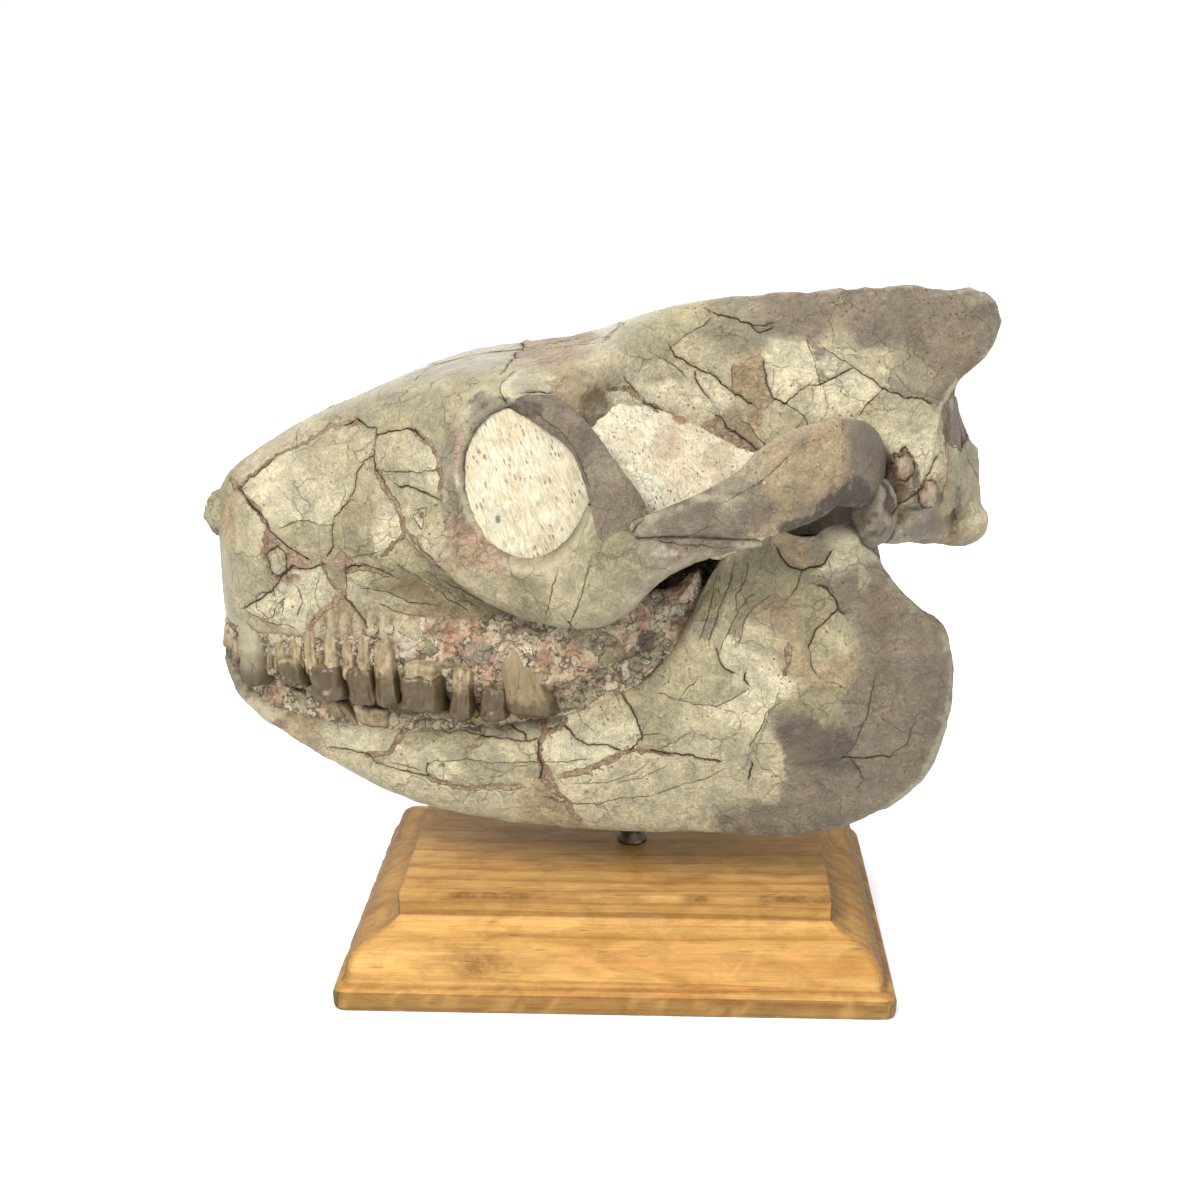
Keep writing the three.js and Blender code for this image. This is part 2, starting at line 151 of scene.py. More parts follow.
def newMaterial(name):
    material = bpy.data.materials.new(name)
    material.use_nodes = True
    tree = material.node_tree
    where = node(tree, "ShaderNodeTexCoord", {}).outputs["Object"]
    return material, tree, tree.nodes["Principled BSDF"], stretched(where, (unit, unit, unit))


def stretched(where, scale, shift=(0, 0, 0), turn=(0, 0, 0)):
    inputs = {"Vector": where, "Scale": scale, "Location": shift, "Rotation": turn}
    return node(where.id_data, "ShaderNodeMapping", inputs).outputs["Vector"]


def cloud(where, size, detail=3.0, rough=0.55, warp=0.0):
    inputs = {"Vector": where, "Scale": 1 / size, "Detail": detail, "Roughness": rough, "Distortion": warp}
    return node(where.id_data, "ShaderNodeTexNoise", inputs).outputs["Fac"]


def ramp(value, low, high, toLow=0.0, toHigh=1.0):
    inputs = {"Value": value, "From Min": low, "From Max": high, "To Min": toLow, "To Max": toHigh}
    made = node(value.id_data, "ShaderNodeMapRange", inputs, interpolation_type="SMOOTHSTEP")
    return made.outputs["Result"]


def treeOf(*values):
    return next(value.id_data for value in values if isinstance(value, bpy.types.NodeSocket))


def calculate(operation, a, b):
    return node(treeOf(a, b), "ShaderNodeMath", {0: a, 1: b}, operation=operation).outputs["Value"]


def times(first, *others):
    for other in others:
        first = calculate("MULTIPLY", first, other)
    return first


def plus(first, *others):
    for other in others:
        first = calculate("ADD", first, other)
    return first


def minus(a, b):
    return calculate("SUBTRACT", a, b)


def larger(a, b):
    return calculate("MAXIMUM", a, b)


def unsigned(a):
    return calculate("ABSOLUTE", a, 0)


def blend(share, a, b, mode="MIX"):
    made = node(treeOf(share, a, b), "ShaderNodeMix", {}, data_type="RGBA", blend_type=mode)
    a, b = ((*value, 1) if isinstance(value, tuple) else value for value in (a, b))
    plug(made, {0: share, 6: a, 7: b})
    return made.outputs[2]


def shaded(color, value, low, high, dim, bright):
    return blend(1.0, color, blend(ramp(value, low, high), dim, bright), "MULTIPLY")


def cells(where, size, feature="F1"):
    inputs = {"Vector": where, "Scale": 1 / size}
    return node(where.id_data, "ShaderNodeTexVoronoi", inputs, feature=feature).outputs["Distance"]


def partsOf(vector):
    return node(vector.id_data, "ShaderNodeSeparateXYZ", {"Vector": vector}).outputs


def warped(where, size, amount):
    def vector(operation, inputs):
        return node(where.id_data, "ShaderNodeVectorMath", inputs, operation=operation).outputs[0]

    drift = node(where.id_data, "ShaderNodeTexNoise", {"Vector": where, "Scale": 1 / size, "Detail": 3.0})
    centred = vector("SUBTRACT", {0: drift.outputs["Color"], 1: (0.5, 0.5, 0.5)})
    return vector("ADD", {0: where, 1: vector("SCALE", {0: centred, "Scale": amount})})


def relief(height, strength, distance):
    inputs = {"Height": height, "Strength": strength, "Distance": distance / unit}
    return node(height.id_data, "ShaderNodeBump", inputs).outputs["Normal"]


def attribute(tree, name, output="Fac"):
    made = node(tree, "ShaderNodeAttribute", {}, attribute_name=name, attribute_type="GEOMETRY")
    return made.outputs[output]


def points(mesh):
    flat = np.empty(len(mesh.vertices) * 3)
    mesh.vertices.foreach_get("co", flat)
    return flat.reshape(-1, 3)


def setPoints(mesh, places):
    mesh.vertices.foreach_set("co", places.ravel())
    mesh.update()


def normalsOf(mesh):
    flat = np.empty(len(mesh.vertices) * 3)
    mesh.vertex_normals.foreach_get("vector", flat)
    return flat.reshape(-1, 3)


def edgesOf(mesh):
    flat = np.empty(len(mesh.edges) * 2, dtype=np.int32)
    mesh.edges.foreach_get("vertices", flat)
    return flat.reshape(-1, 2).T


def averaged(values, edges, rounds, strength=0.5):
    first, second = edges
    count = len(values)
    ties = np.maximum(np.bincount(first, minlength=count) + np.bincount(second, minlength=count), 1)
    values = values.reshape(count, -1).copy()
    strength = np.asarray(strength).reshape(-1, 1)
    for _ in range(rounds):
        total = np.stack([np.bincount(first, column[second], count)
                          + np.bincount(second, column[first], count)
                          for column in values.T], axis=1)
        values += (total / ties[:, None] - values) * strength
    return values


def relax(mesh, rounds, strength=0.5):
    setPoints(mesh, averaged(points(mesh), edgesOf(mesh), rounds, strength))


def lumps(places, size, octaves=3, shift=0.0):
    return np.array([noise.fractal((x / size + shift, y / size - shift, z / size), 0.9, 2.0, octaves)
                     for x, y, z in places.tolist()])


def smoothstep(low, high, values):
    share = np.clip((values - low) / (high - low), 0, 1)
    return share * share * (3 - 2 * share)


def newObject(name, bm):
    mesh = bpy.data.meshes.new(name)
    bm.to_mesh(mesh)
    bm.free()
    obj = bpy.data.objects.new(name, mesh)
    bpy.context.scene.collection.objects.link(obj)
    return obj


def freeze(obj):
    bpy.context.view_layer.update()
    result = bpy.data.meshes.new_from_object(obj.evaluated_get(bpy.context.evaluated_depsgraph_get()))
    obj.modifiers.clear()
    spent = obj.data
    obj.data = result
    bpy.data.meshes.remove(spent)


def remesh(obj, cell):
    modifier = obj.modifiers.new("remesh", "REMESH")
    modifier.mode = "VOXEL"
    modifier.voxel_size = cell * coarse
    modifier.adaptivity = 0
    freeze(obj)


def finishPiece(obj, material, slot, *nodes):
    mesh = obj.data
    mesh.transform(Matrix.Scale(1 / unit, 4))
    mesh.materials.clear()
    mesh.materials.append(material)
    mesh.shade_smooth()
    low, high = (np.array(corner) for corner in cadBox)
    setPoints(mesh, np.clip(points(mesh), low, high))
    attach(obj, "root")
    if nodes:
        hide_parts(*nodes)
    print(obj.name, "made,", sum(len(face.vertices) - 2 for face in mesh.polygons), "triangles")


# Curves and sleeves that the bones are built from.


def through(rows):
    rows = np.array(rows, float)
    at, values = rows[:, 0], rows[:, 1:]
    slopes = np.gradient(values, at, axis=0)

    def curve(where):
        where = np.clip(where, at[0], at[-1])
        index = min(int(np.searchsorted(at, where, side="right")) - 1, len(at) - 2)
        span = at[index + 1] - at[index]
        t = (where - at[index]) / span
        return ((2 * t**3 - 3 * t**2 + 1) * values[index] + (t**3 - 2 * t**2 + t) * span * slopes[index]
                + (3 * t**2 - 2 * t**3) * values[index + 1] + (t**3 - t**2) * span * slopes[index + 1])

    return curve


def resampled(stations, count):
    spine = np.array(stations, float)
    steps = np.r_[0, np.cumsum(np.linalg.norm(np.diff(spine[:, :3], axis=0), axis=1))]
    curve = through(np.column_stack([steps, spine]))
    return np.array([curve(at) for at in np.linspace(0, steps[-1], count)])


def closedLoop(corners, count):
    corners = np.array(corners, float)
    wrapped = np.vstack([corners[-2:], corners, corners[:3]])
    steps = np.r_[0, np.cumsum(np.sqrt(np.linalg.norm(np.diff(wrapped, axis=0), axis=1)))]
    curve = through(np.column_stack([steps, wrapped]))
    fine = np.array([curve(at) for at in np.linspace(steps[2], steps[2 + len(corners)], count * 4 + 1)])
    lengths = np.r_[0, np.cumsum(np.linalg.norm(np.diff(fine, axis=0), axis=1))]
    even = np.linspace(0, lengths[-1], count + 1)[:-1]
    return np.column_stack([np.interp(even, lengths, fine[:, axis]) for axis in range(3)])


def sleeve(bm, rings):
    around, rows = len(rings[0]), len(rings) + 1
    ball = bmesh.ops.create_uvsphere(bm, u_segments=around, v_segments=rows, radius=1)
    ends = {0: rings[0].mean(0), rows: rings[-1].mean(0)}
    for vertex in ball["verts"]:
        row = round(math.acos(max(-1.0, min(1.0, vertex.co.z))) / math.pi * rows)
        column = round(math.atan2(vertex.co.y, vertex.co.x) / math.tau * around) % around
        vertex.co = ends[row] if row in ends else rings[row - 1][column]


def oval(count, squareness):
    angles = np.linspace(0, math.tau, count, endpoint=False)
    across, along = np.cos(angles), np.sin(angles)
    return np.sign(across) * abs(across) ** squareness, np.sign(along) * abs(along) ** squareness


def limb(bm, stations, side, deepWay, around=24, rows=30):
    run = resampled(stations, rows)
    spine = run[:, :3] * (1, side, 1)
    ahead = np.gradient(spine, axis=0)
    ahead /= np.linalg.norm(ahead, axis=1)[:, None]
    across, along = oval(around, 0.85)
    rings = []
    for place, way, depth, thickness in zip(spine, ahead, run[:, 3], run[:, 4]):
        deep = np.array(deepWay) - way * np.dot(deepWay, way)
        deep /= np.linalg.norm(deep)
        thin = np.cross(way, deep)
        rings.append(place + np.outer(across * thickness, thin) + np.outer(along * depth, deep))
    sleeve(bm, rings)


def knob(bm, at, size, side=1):
    turned = Matrix.Translation((at[0], at[1] * side, at[2])) @ Matrix.Diagonal((*size, 1))
    bmesh.ops.create_uvsphere(bm, u_segments=20, v_segments=14, radius=1, matrix=turned)


sides = {"left": -1, "right": 1}

# Carving: cracks, ridges, dents and plates are laid on a piece by rays from one of its sides.

ways = {"left": (0, 1, 0), "right": (0, -1, 0), "top": (0, 0, -1), "under": (0, 0, 1), "back": (-1, 0, 0)}
# The tone 'shadow' is painted shade, not a kind of surface; it paints shade on the cranium, the arch and the
# bar.
tones = {  # colour of each kind of surface, and how crumbly it is
    "cream": ((232, 223, 192), 0.15), "bone": ((214, 203, 170), 0.25), "olive": ((194, 184, 150), 0.15),
    "moss": ((176, 166, 131), 0.2), "tan": ((200, 178, 142), 0.5), "ash": ((170, 159, 136), 0.3),
    "filler": ((146, 131, 112), 0.35), "slate": ((104, 92, 77), 0.35), "shadow": ((76, 62, 44), 0.4),
    "chalk": ((240, 232, 206), 0.7), "pink": ((205, 174, 150), 0.9), "rust": ((172, 128, 98), 0.9),
    "umber": ((128, 108, 80), 0.6), "clay": ((202, 176, 140), 0.8),
}
crackKinds = {"dark": {"half": 0.3, "depth": 0.5}, "pink": {"half": 0.9, "depth": 0.4},
              "faint": {"half": 0.2, "depth": 0.13}}
reach = 300  # where the rays start
cutSpacing = 0.35  # between the points of a crack
farthest = 4.0  # how far from a crack its distance is kept


def surfaceOf(mesh):
    return BVHTree.FromPolygons(points(mesh).tolist(), [tuple(face.vertices) for face in mesh.polygons])


def landing(tree, way, a, b):
    if way in ("left", "right"):
        spot = (a, -reach * ways[way][1], b)
    elif way in ("top", "under"):
        spot = (a, b, -reach * ways[way][2])
    else:
        spot = (-reach * ways[way][0], a, b)
    return tree.ray_cast(spot, ways[way])[0]


def traced(tree, way, path, wander=0.5):
    corners = np.array(path, float)
    steps = np.r_[0, np.cumsum(np.linalg.norm(np.diff(corners, axis=0), axis=1))]
    landed = []
    for at in np.arange(0, steps[-1] + cutSpacing, cutSpacing):
        a, b = (np.interp(at, steps, corners[:, axis]) for axis in (0, 1))
        a += wander * (noise.noise((a / 2.6, b / 2.6, 3)) + 0.4 * noise.noise((a / 0.8, b / 0.8, 9)))
        b += wander * (noise.noise((a / 2.6, b / 2.6, 17)) + 0.4 * noise.noise((a / 0.8, b / 0.8, 21)))
        spot = landing(tree, way, a, b)
        if spot is not None:
            landed.append(spot)
    return landed


def otherSide(path):  # the far side is cracked alike, but not as a mirror image
    return [(x * 0.97 - 3 + 3 * math.sin(z / 9), z + 2.2 * math.sin(x / 17)) for x, z in path]


def finderOf(spots):
    tree = kdtree.KDTree(len(spots))
    for index, spot in enumerate(spots):
        tree.insert(spot, index)
    tree.balance()
    return tree


def gaps(places, spots, limit=9.0):
    if not spots:
        return np.full(len(places), limit)
    tree = finderOf(spots)
    return np.array([min(limit, tree.find(place)[2]) for place in places.tolist()])


def laidCracks(tree, cracks):
    lines = {kind: [] for kind in crackKinds}
    for (way, kind), paths in cracks.items():
        for path in paths:
            lines[kind].append(traced(tree, way, path))
            if way == "left":
                lines[kind].append(traced(tree, "right", otherSide(path)))
    return {kind: [line for line in found if len(line) > 3] for kind, found in lines.items()}


# Distance to the nearest line, once with a sign for its side and once without.
def fieldOf(places, out, lines):
    if not lines:
        return np.full(len(places), farthest), np.full(len(places), farthest)
    spots = np.vstack([np.array(line) for line in lines])
    along = np.vstack([np.gradient(np.array(line), axis=0) for line in lines])
    along /= np.maximum(np.linalg.norm(along, axis=1), 1e-6)[:, None]
    last = np.zeros(len(spots), bool)
    finish = np.cumsum([len(line) for line in lines])
    last[finish - 1] = True
    last[np.r_[0, finish[:-1]]] = True
    tree = finderOf(spots.tolist())
    found = [tree.find(place)[1:] for place in places.tolist()]
    index = np.array([item[0] for item in found])
    distance = np.array([item[1] for item in found])
    offset = places - spots[index]
    ahead = np.einsum("ij,ij->i", offset, along[index])
    sideways = np.einsum("ij,ij->i", offset, np.cross(out, along[index]))
    beside = np.sqrt(np.maximum(distance ** 2 - np.where(last[index], 0, ahead ** 2), 0))
    plain = np.minimum(beside, farthest)
    return np.where(sideways < 0, -plain, plain), plain


def splitNear(mesh, lines, distance):
    spots = [spot for line in lines for spot in line]
    near = gaps(points(mesh), spots) < distance
    bm = bmesh.new()
    bm.from_mesh(mesh)
    bm.verts.ensure_lookup_table()
    edges = [edge for edge in bm.edges if near[edge.verts[0].index] and near[edge.verts[1].index]]
    bmesh.ops.subdivide_edges(bm, edges=edges, cuts=1, use_grid_fill=True)
    bm.to_mesh(mesh)
    bm.free()
    mesh.update()


# Each point goes to the seed nearest along the surface, and cracks are costly to cross.
def plates(mesh, seeds, barrier, tree):
    places, edges = points(mesh), edgesOf(mesh)
    lengths = np.linalg.norm(places[edges[0]] - places[edges[1]], axis=1)
    held = 1 + 14 * np.maximum(barrier[edges[0]], barrier[edges[1]])
    unruly = 1 + 0.6 * np.clip(lumps(places, 5, 3), -1, 1)
    costs = lengths * held * unruly[edges[0]]
    ties = [[] for _ in places]
    for first, second, cost in zip(edges[0].tolist(), edges[1].tolist(), costs.tolist()):
        ties[first].append((second, cost))
        ties[second].append((first, cost))
    finder = finderOf(places.tolist())
    best = [math.inf] * len(places)
    owner = [0] * len(places)
    queue = []
    for number, (way, a, b, _) in enumerate(seeds):
        spot = landing(tree, way, a, b)
        if spot is None:
            continue
        index = finder.find(spot)[1]
        best[index] = 0
        owner[index] = number
        queue.append((0.0, index))
    heapq.heapify(queue)
    while queue:
        cost, index = heapq.heappop(queue)
        if cost > best[index]:
            continue
        for other, step in ties[index]:
            total = cost + step
            if total < best[other]:
                best[other] = total
                owner[other] = owner[index]
                heapq.heappush(queue, (total, other))
    return np.array(owner)


def bothSides(seeds):
    return [(way, *seed) for way in ("left", "right") for seed in seeds]


def store(mesh, name, values):
    kind = "FLOAT_COLOR" if values.ndim == 2 else "FLOAT"
    layer = mesh.attributes.new(name, kind, "POINT")
    if values.ndim == 2:
        values = np.column_stack([values, np.ones(len(values))])
        layer.data.foreach_set("color", values.ravel())
    else:
        layer.data.foreach_set("value", values)


# How far each point lies below its surroundings, from -1 on an edge to 1 in a crevice.
def storeHollow(mesh, edges, near=2.2, wide=0.4):
    places, out = points(mesh), normalsOf(mesh)
    fine = np.einsum("ij,ij->i", averaged(places, edges, 5) - places, out)
    broad = np.einsum("ij,ij->i", averaged(places, edges, 70) - places, out)
    store(mesh, "hollow", np.clip(fine * near + np.maximum(broad, 0) * wide, -1, 1))


def ovalShare(places, x, z, lengthwise, upright):
    return np.hypot((places[:, 0] - x) / lengthwise, (places[:, 2] - z) / upright)


# Patches of another tone, ragged at their edge: x, z, half length, half height, tone, share.
def patched(places, out, patches, colors, crumbly):
    ragged = 0.22 * lumps(places, 4.5, 3, 55) + 0.16 * lumps(places, 1.4, 2, 58)
    for side in sides.values():
        facing = smoothstep(-0.25, 0.1, out[:, 1] * side)
        for x, z, lengthwise, upright, kind, share in patches:
            away = ovalShare(places, x, z, lengthwise, upright) + ragged
            inside = share * facing * (1 - smoothstep(0.84, 1.0, away))
            colors = colors + (np.array(paint(tones[kind][0])) - colors) * inside[:, None]
            crumbly = crumbly + (tones[kind][1] - crumbly) * inside
    return colors, crumbly


# Cracks, plates and grain for one piece of bone, and the attributes that colour it.
def carve(obj, cracks, seeds, ridges=(), patches=(), grain=0.22, tilt=0.3, split=(1.7, 0.8)):
    mesh = obj.data
    tree = surfaceOf(mesh)
    lines = laidCracks(tree, cracks)
    for distance in split:
        splitNear(mesh, [line for found in lines.values() for line in found], distance)
    places, out, edges = points(mesh), normalsOf(mesh), edgesOf(mesh)
    fields = {kind: fieldOf(places, out, lines[kind]) for kind in crackKinds}
    away = {kind: fields[kind][1] for kind in crackKinds}
    barrier = 1 - smoothstep(0.4, 1.2, np.minimum(away["dark"], np.minimum(away["pink"], away["faint"])))
    owner = plates(mesh, seeds, barrier, tree)
    kinds = [seed[3] for seed in seeds]
    colors = np.array([paint(tones[kind][0]) for kind in kinds])[owner]
    crumbly = np.array([tones[kind][1] for kind in kinds])[owner]
    dice = random.Random(7)
    levels = np.array([dice.uniform(-1, 1) for _ in kinds])[owner]
    shades = np.array([dice.uniform(0.9, 1.08) for _ in kinds])[owner]
    free = 0.5 * (1 - barrier)
    colors = averaged(colors * shades[:, None], edges, 5, free)
    crumbly = averaged(crumbly, edges, 5, free)[:, 0]
    colors, crumbly = patched(places, out, patches, colors, crumbly)
    lift = averaged(levels * tilt, edges, 4, free)[:, 0]
    lift += grain * lumps(places, 5.5, 4) * (0.5 + crumbly)
    lift += 0.3 * crumbly * lumps(places, 1.6, 2, 40)
    ragged = 0.75 + 0.75 * lumps(places, 3.5, 2, 80)
    for kind, settings in crackKinds.items():
        half = settings["half"] * np.clip(ragged, 0.35, 1.6)
        lift -= settings["depth"] * (1 - smoothstep(0.3, 1.5, away[kind] / half))
    for way, half, height, path in ridges:
        line = traced(tree, way, path, 0.4)
        if way == "left":
            line += traced(tree, "right", otherSide(path), 0.4)
        lift += height * (1 - smoothstep(0, half * 1.6, gaps(places, line, 20.0)))
    setPoints(mesh, places + out * lift[:, None])
    storeHollow(mesh, edges)
    store(mesh, "tone", colors)
    store(mesh, "crumbly", crumbly)
    for kind in crackKinds:
        store(mesh, kind, np.column_stack([*fields[kind], np.zeros(len(places))]))


def dent(places, out, side, x, z, lengthwise, upright, depth):
    facing = smoothstep(0.15, 0.45, out[:, 1] * side)
    return -depth * facing * (1 - smoothstep(0, 1, ovalShare(places, x, z, lengthwise, upright)))


def band(values, low, lowFull, highFull, high):  # 1 between the full values, fading to 0 outside them
    return smoothstep(low, lowFull, values) * (1 - smoothstep(highFull, high, values))


# The cranium. Guide lines run from the nose back: x, half width, height. Roof and palate have no width.

roof = [
    (-109.8, 133), (-106, 138.5), (-99, 143.8), (-84, 152.4), (-68, 159.6), (-52, 166), (-38, 169.8),
    (-20, 172), (-6, 174.8), (5, 179.3), (16, 182.7), (32, 185.3), (55, 187), (75, 188), (83, 187),
    (88, 180), (90.6, 160), (97.3, 144),
]
flanks = {
    "brow": [
        (-109.8, 3, 131.5), (-106, 7, 136.5), (-99, 10, 141.2), (-84, 11.5, 150), (-68, 14, 156.8),
        (-52, 20, 162.5), (-38, 28.5, 165.5), (-20, 35.5, 166), (-6, 30, 168.5), (5, 17, 174),
        (16, 7.5, 178.5), (32, 3.6, 181.5), (60, 3.4, 183.5), (80, 4.4, 182.5), (88, 6.5, 176),
        (90.6, 6.5, 157), (97.3, 3.5, 143)],
    "flank": [
        (-109.8, 4.5, 126), (-106, 11, 128.5), (-99, 17.5, 132), (-84, 20, 139), (-68, 22.5, 145),
        (-52, 29, 149), (-38, 38.2, 150), (-20, 39.4, 150), (-6, 35, 152), (5, 23, 158), (16, 15.5, 163),
        (32, 14.5, 166.5), (60, 18.5, 166), (78, 17, 161), (88, 13, 155), (90.6, 10, 149), (97.3, 5.5, 139)],
    "cheek": [
        (-109.8, 5, 116), (-106, 13, 117), (-99, 20.5, 118), (-84, 23.5, 122), (-68, 26, 127),
        (-52, 32, 131), (-38, 39.4, 132.5), (-20, 42, 132), (-6, 41, 133), (5, 26, 139), (16, 20, 146),
        (32, 23, 149), (58, 30, 147), (75, 29, 144.5), (88, 23, 140), (90.6, 18, 138), (97.3, 8, 134)],
    "hollow": [
        (-109.8, 5.5, 108), (-106, 13.5, 108.5), (-99, 20.5, 109), (-84, 23.5, 111), (-68, 25, 113),
        (-52, 27, 113), (-38, 28.5, 113.5), (-20, 29, 114), (-6, 27.5, 115), (5, 23, 121), (16, 18, 130),
        (32, 19, 134), (58, 24.5, 133), (75, 26, 132), (88, 20, 130), (90.6, 15.5, 129), (97.3, 7, 130)],
    "gum": [
        (-109.8, 5, 97), (-106, 13, 97.5), (-99, 20.5, 98.5), (-84, 25, 98), (-68, 28, 98.5),
        (-52, 31, 98.5), (-38, 33, 98.5), (-20, 34, 98), (-6, 33, 98), (4, 26, 104), (16, 14, 118),
        (32, 14, 124), (58, 17, 125.5), (75, 19, 124), (88, 16, 123.5), (90.6, 12, 124), (97.3, 4.5, 127)],
}
palate = [
    (-109.8, 99), (-84, 103), (-38, 105.5), (-6, 108), (5, 112), (16, 117), (55, 121), (88, 122),
    (97.3, 126.5),
]

# Limbs of one side: x, half width, height, half depth, half thickness.
orbitRim = [
    (-8, 28, 165.5, 2.2, 2.4), (-20, 32.5, 165.6, 3.4, 2.6), (-31, 33.6, 162.4, 3.8, 3),
    (-38, 34, 156, 4.4, 2.6),
]
orbitFloor = [
    (-42, 34, 131, 6, 4), (-34, 38.4, 125.5, 6, 4.4), (-22, 42.2, 120.5, 6.4, 4.4),
    (-9, 44.6, 124.6, 9, 4.4), (-2, 46, 131.5, 9.4, 4.4), (4.5, 48.2, 137.5, 6.4, 3.4),
]
jugal = [
    (-50, 31, 130, 3, 4), (-40, 36, 126, 6, 6), (-28, 40.5, 120.5, 8.2, 6), (-15, 45.5, 118.3, 9.3, 5.6),
    (-4, 49, 120.5, 10.6, 4.8), (6, 52, 127, 8.4, 3.8), (16, 54.5, 131, 5, 3.2),
    (27, 56.3, 133.2, 2.6, 2.6), (38, 57, 134.2, 1.4, 1.6),
]
squamosal = [
    (6, 54.5, 136.4, 1.8, 2), (15, 56.2, 139, 3.6, 2.6), (26, 57.6, 141.4, 6.3, 2.6),
    (36, 58, 144.4, 9.4, 2.7), (45, 56.6, 149.4, 11.6, 2.9), (53, 52.5, 152, 10.8, 3.4),
    (59.5, 45, 150.5, 10.5, 4.2), (62.5, 35, 147, 10.5, 5.4), (64, 22, 144, 9, 6),
]
orbitBar = [
    (-31, 24, 163, 3, 3), (-23, 32.5, 163.8, 3.6, 3), (-12.4, 38, 160.4, 4.4, 2.6),
    (-5.6, 41.4, 154.3, 3.9, 2.6), (-1.6, 44, 147.7, 4.8, 2.6), (2.0, 47, 141, 6.4, 2.6),
    (5.6, 50, 131, 7.8, 2.8),
]
nuchalWing = [
    (86, -3, 182.4, 9.6, 3.4), (89.6, 1, 181.4, 10.4, 4.2), (92.0, 4.2, 177.6, 10.6, 3.8),
    (90, 6.4, 173, 10.6, 3.2), (85, 9.5, 167, 9.4, 3.2), (79, 15.4, 158, 7.6, 3.4), (76, 22, 150, 7.2, 3.4),
    (74, 27, 142, 6.6, 3.4), (73.5, 29, 134, 5.2, 3.6),
]
# Where the nape ends: height, x.
napeEdge = [
    (150, 91), (158, 88.4), (161, 87.8), (164.6, 88.4), (166.2, 91.4), (168.4, 93.4), (169.6, 95.6),
    (172, 97.4), (174, 98.6), (178, 100.4), (181.4, 99.8), (184, 98), (186, 95), (190, 88),
]
lowerShelf = [
    (62, 33, 131, 3.4, 3.4), (67, 32, 129.6, 3.2, 3.4), (74, 28, 129, 3.4, 3.6), (82, 20, 129, 4.2, 4.4),
    (90, 12, 128, 5, 5),
]
cranium = {"cell": 1.2, "rows": 110, "around": 96, "nose": -109.8, "nape": 97.3, "settle": 6}
craniumLumps = {
    "condyle": ((90.5, 11, 126.6), (9, 7.4, 6.8)), "mastoid": ((76.5, 27, 134), (5.2, 4.6, 5.6)),
    "postglenoid": ((65.6, 37.4, 136.6), (6, 6.4, 9.6)), "earPlug": ((72.6, 32, 146.2), (3.4, 4, 4.4)),
    "earStone": ((79.4, 30.6, 139), (3.5, 3.8, 4.2)), "earFloor": ((73, 31.5, 138.4), (3.2, 3.2, 3.4)),
    "earPebble": ((75.6, 32.5, 140.6), (1.8, 2, 1.8)),
}
socket = {"at": (-20, 144.6), "length": 16, "height": 18.8, "face": 39.6, "leanDown": 0.2, "leanBack": 0.1,
          "topWider": 0.12, "recess": 2.2}


def craniumBlank():
    bm = bmesh.new()
    crown, floor = through(roof), through(palate)
    lines = [through(line) for line in flanks.values()]
    rings = []
    for x in np.linspace(cranium["nose"], cranium["nape"], cranium["rows"]):
        flank = [line(x) for line in lines]
        left = [(x, -y, z) for y, z in flank]
        right = [(x, y, z) for y, z in reversed(flank)]
        rings.append(closedLoop([(x, 0, crown(x)[0]), *left, (x, 0, floor(x)[0]), *right], cranium["around"]))
    sleeve(bm, rings)
    for side in sides.values():
        limb(bm, orbitRim, side, (0, 1, 0))
        limb(bm, orbitFloor, side, (0, 0, 1), rows=40)
        limb(bm, jugal, side, (0, 0, 1), rows=50)
        limb(bm, lowerShelf, side, (0, 0, 1), rows=30)
        limb(bm, nuchalWing, side, (1, 0, 0), rows=40)
        for place, size in craniumLumps.values():
            knob(bm, place, size, side)
    obj = newObject("cranium", bm)
    remesh(obj, cranium["cell"])
    return obj


# Dents and swellings of one side: x, z, half length, half height, depth.
craniumDents = [
    (-45, 111.5, 24, 8, 2.6), (-38.6, 140, 2.6, 10, 1.7), (-48.4, 134.6, 1.8, 1.8, 2.4),
    (-3, 164, 8, 5, 1.2), (12, 160, 20, 7, -2.6), (-50, 145.5, 4, 4, 0.8), (-66, 128, 10, 9, -1.0),
    (-84, 140, 9, 9, -0.6), (-92, 121, 2.2, 8, 0.8), (-40, 155, 4, 8, 0.6), (70, 140, 4, 5, 1.6),
    (86, 152, 5, 7, 1.2), (-72, 108, 6, 4, 0.7), (30, 166, 14, 8, 0.8), (60, 165, 16, 9, -0.8),
    (-104, 128, 4, 5, 0.8), (93, 167.5, 5, 4, 2.6), (101, 172, 3, 3, 1.6), (84, 140, 4, 5, 1.0),
    (88.8, 128, 1.6, 8, 1.3), (69, 146, 3, 5, 1.8), (-36.5, 141, 2, 10, 0.8),
]
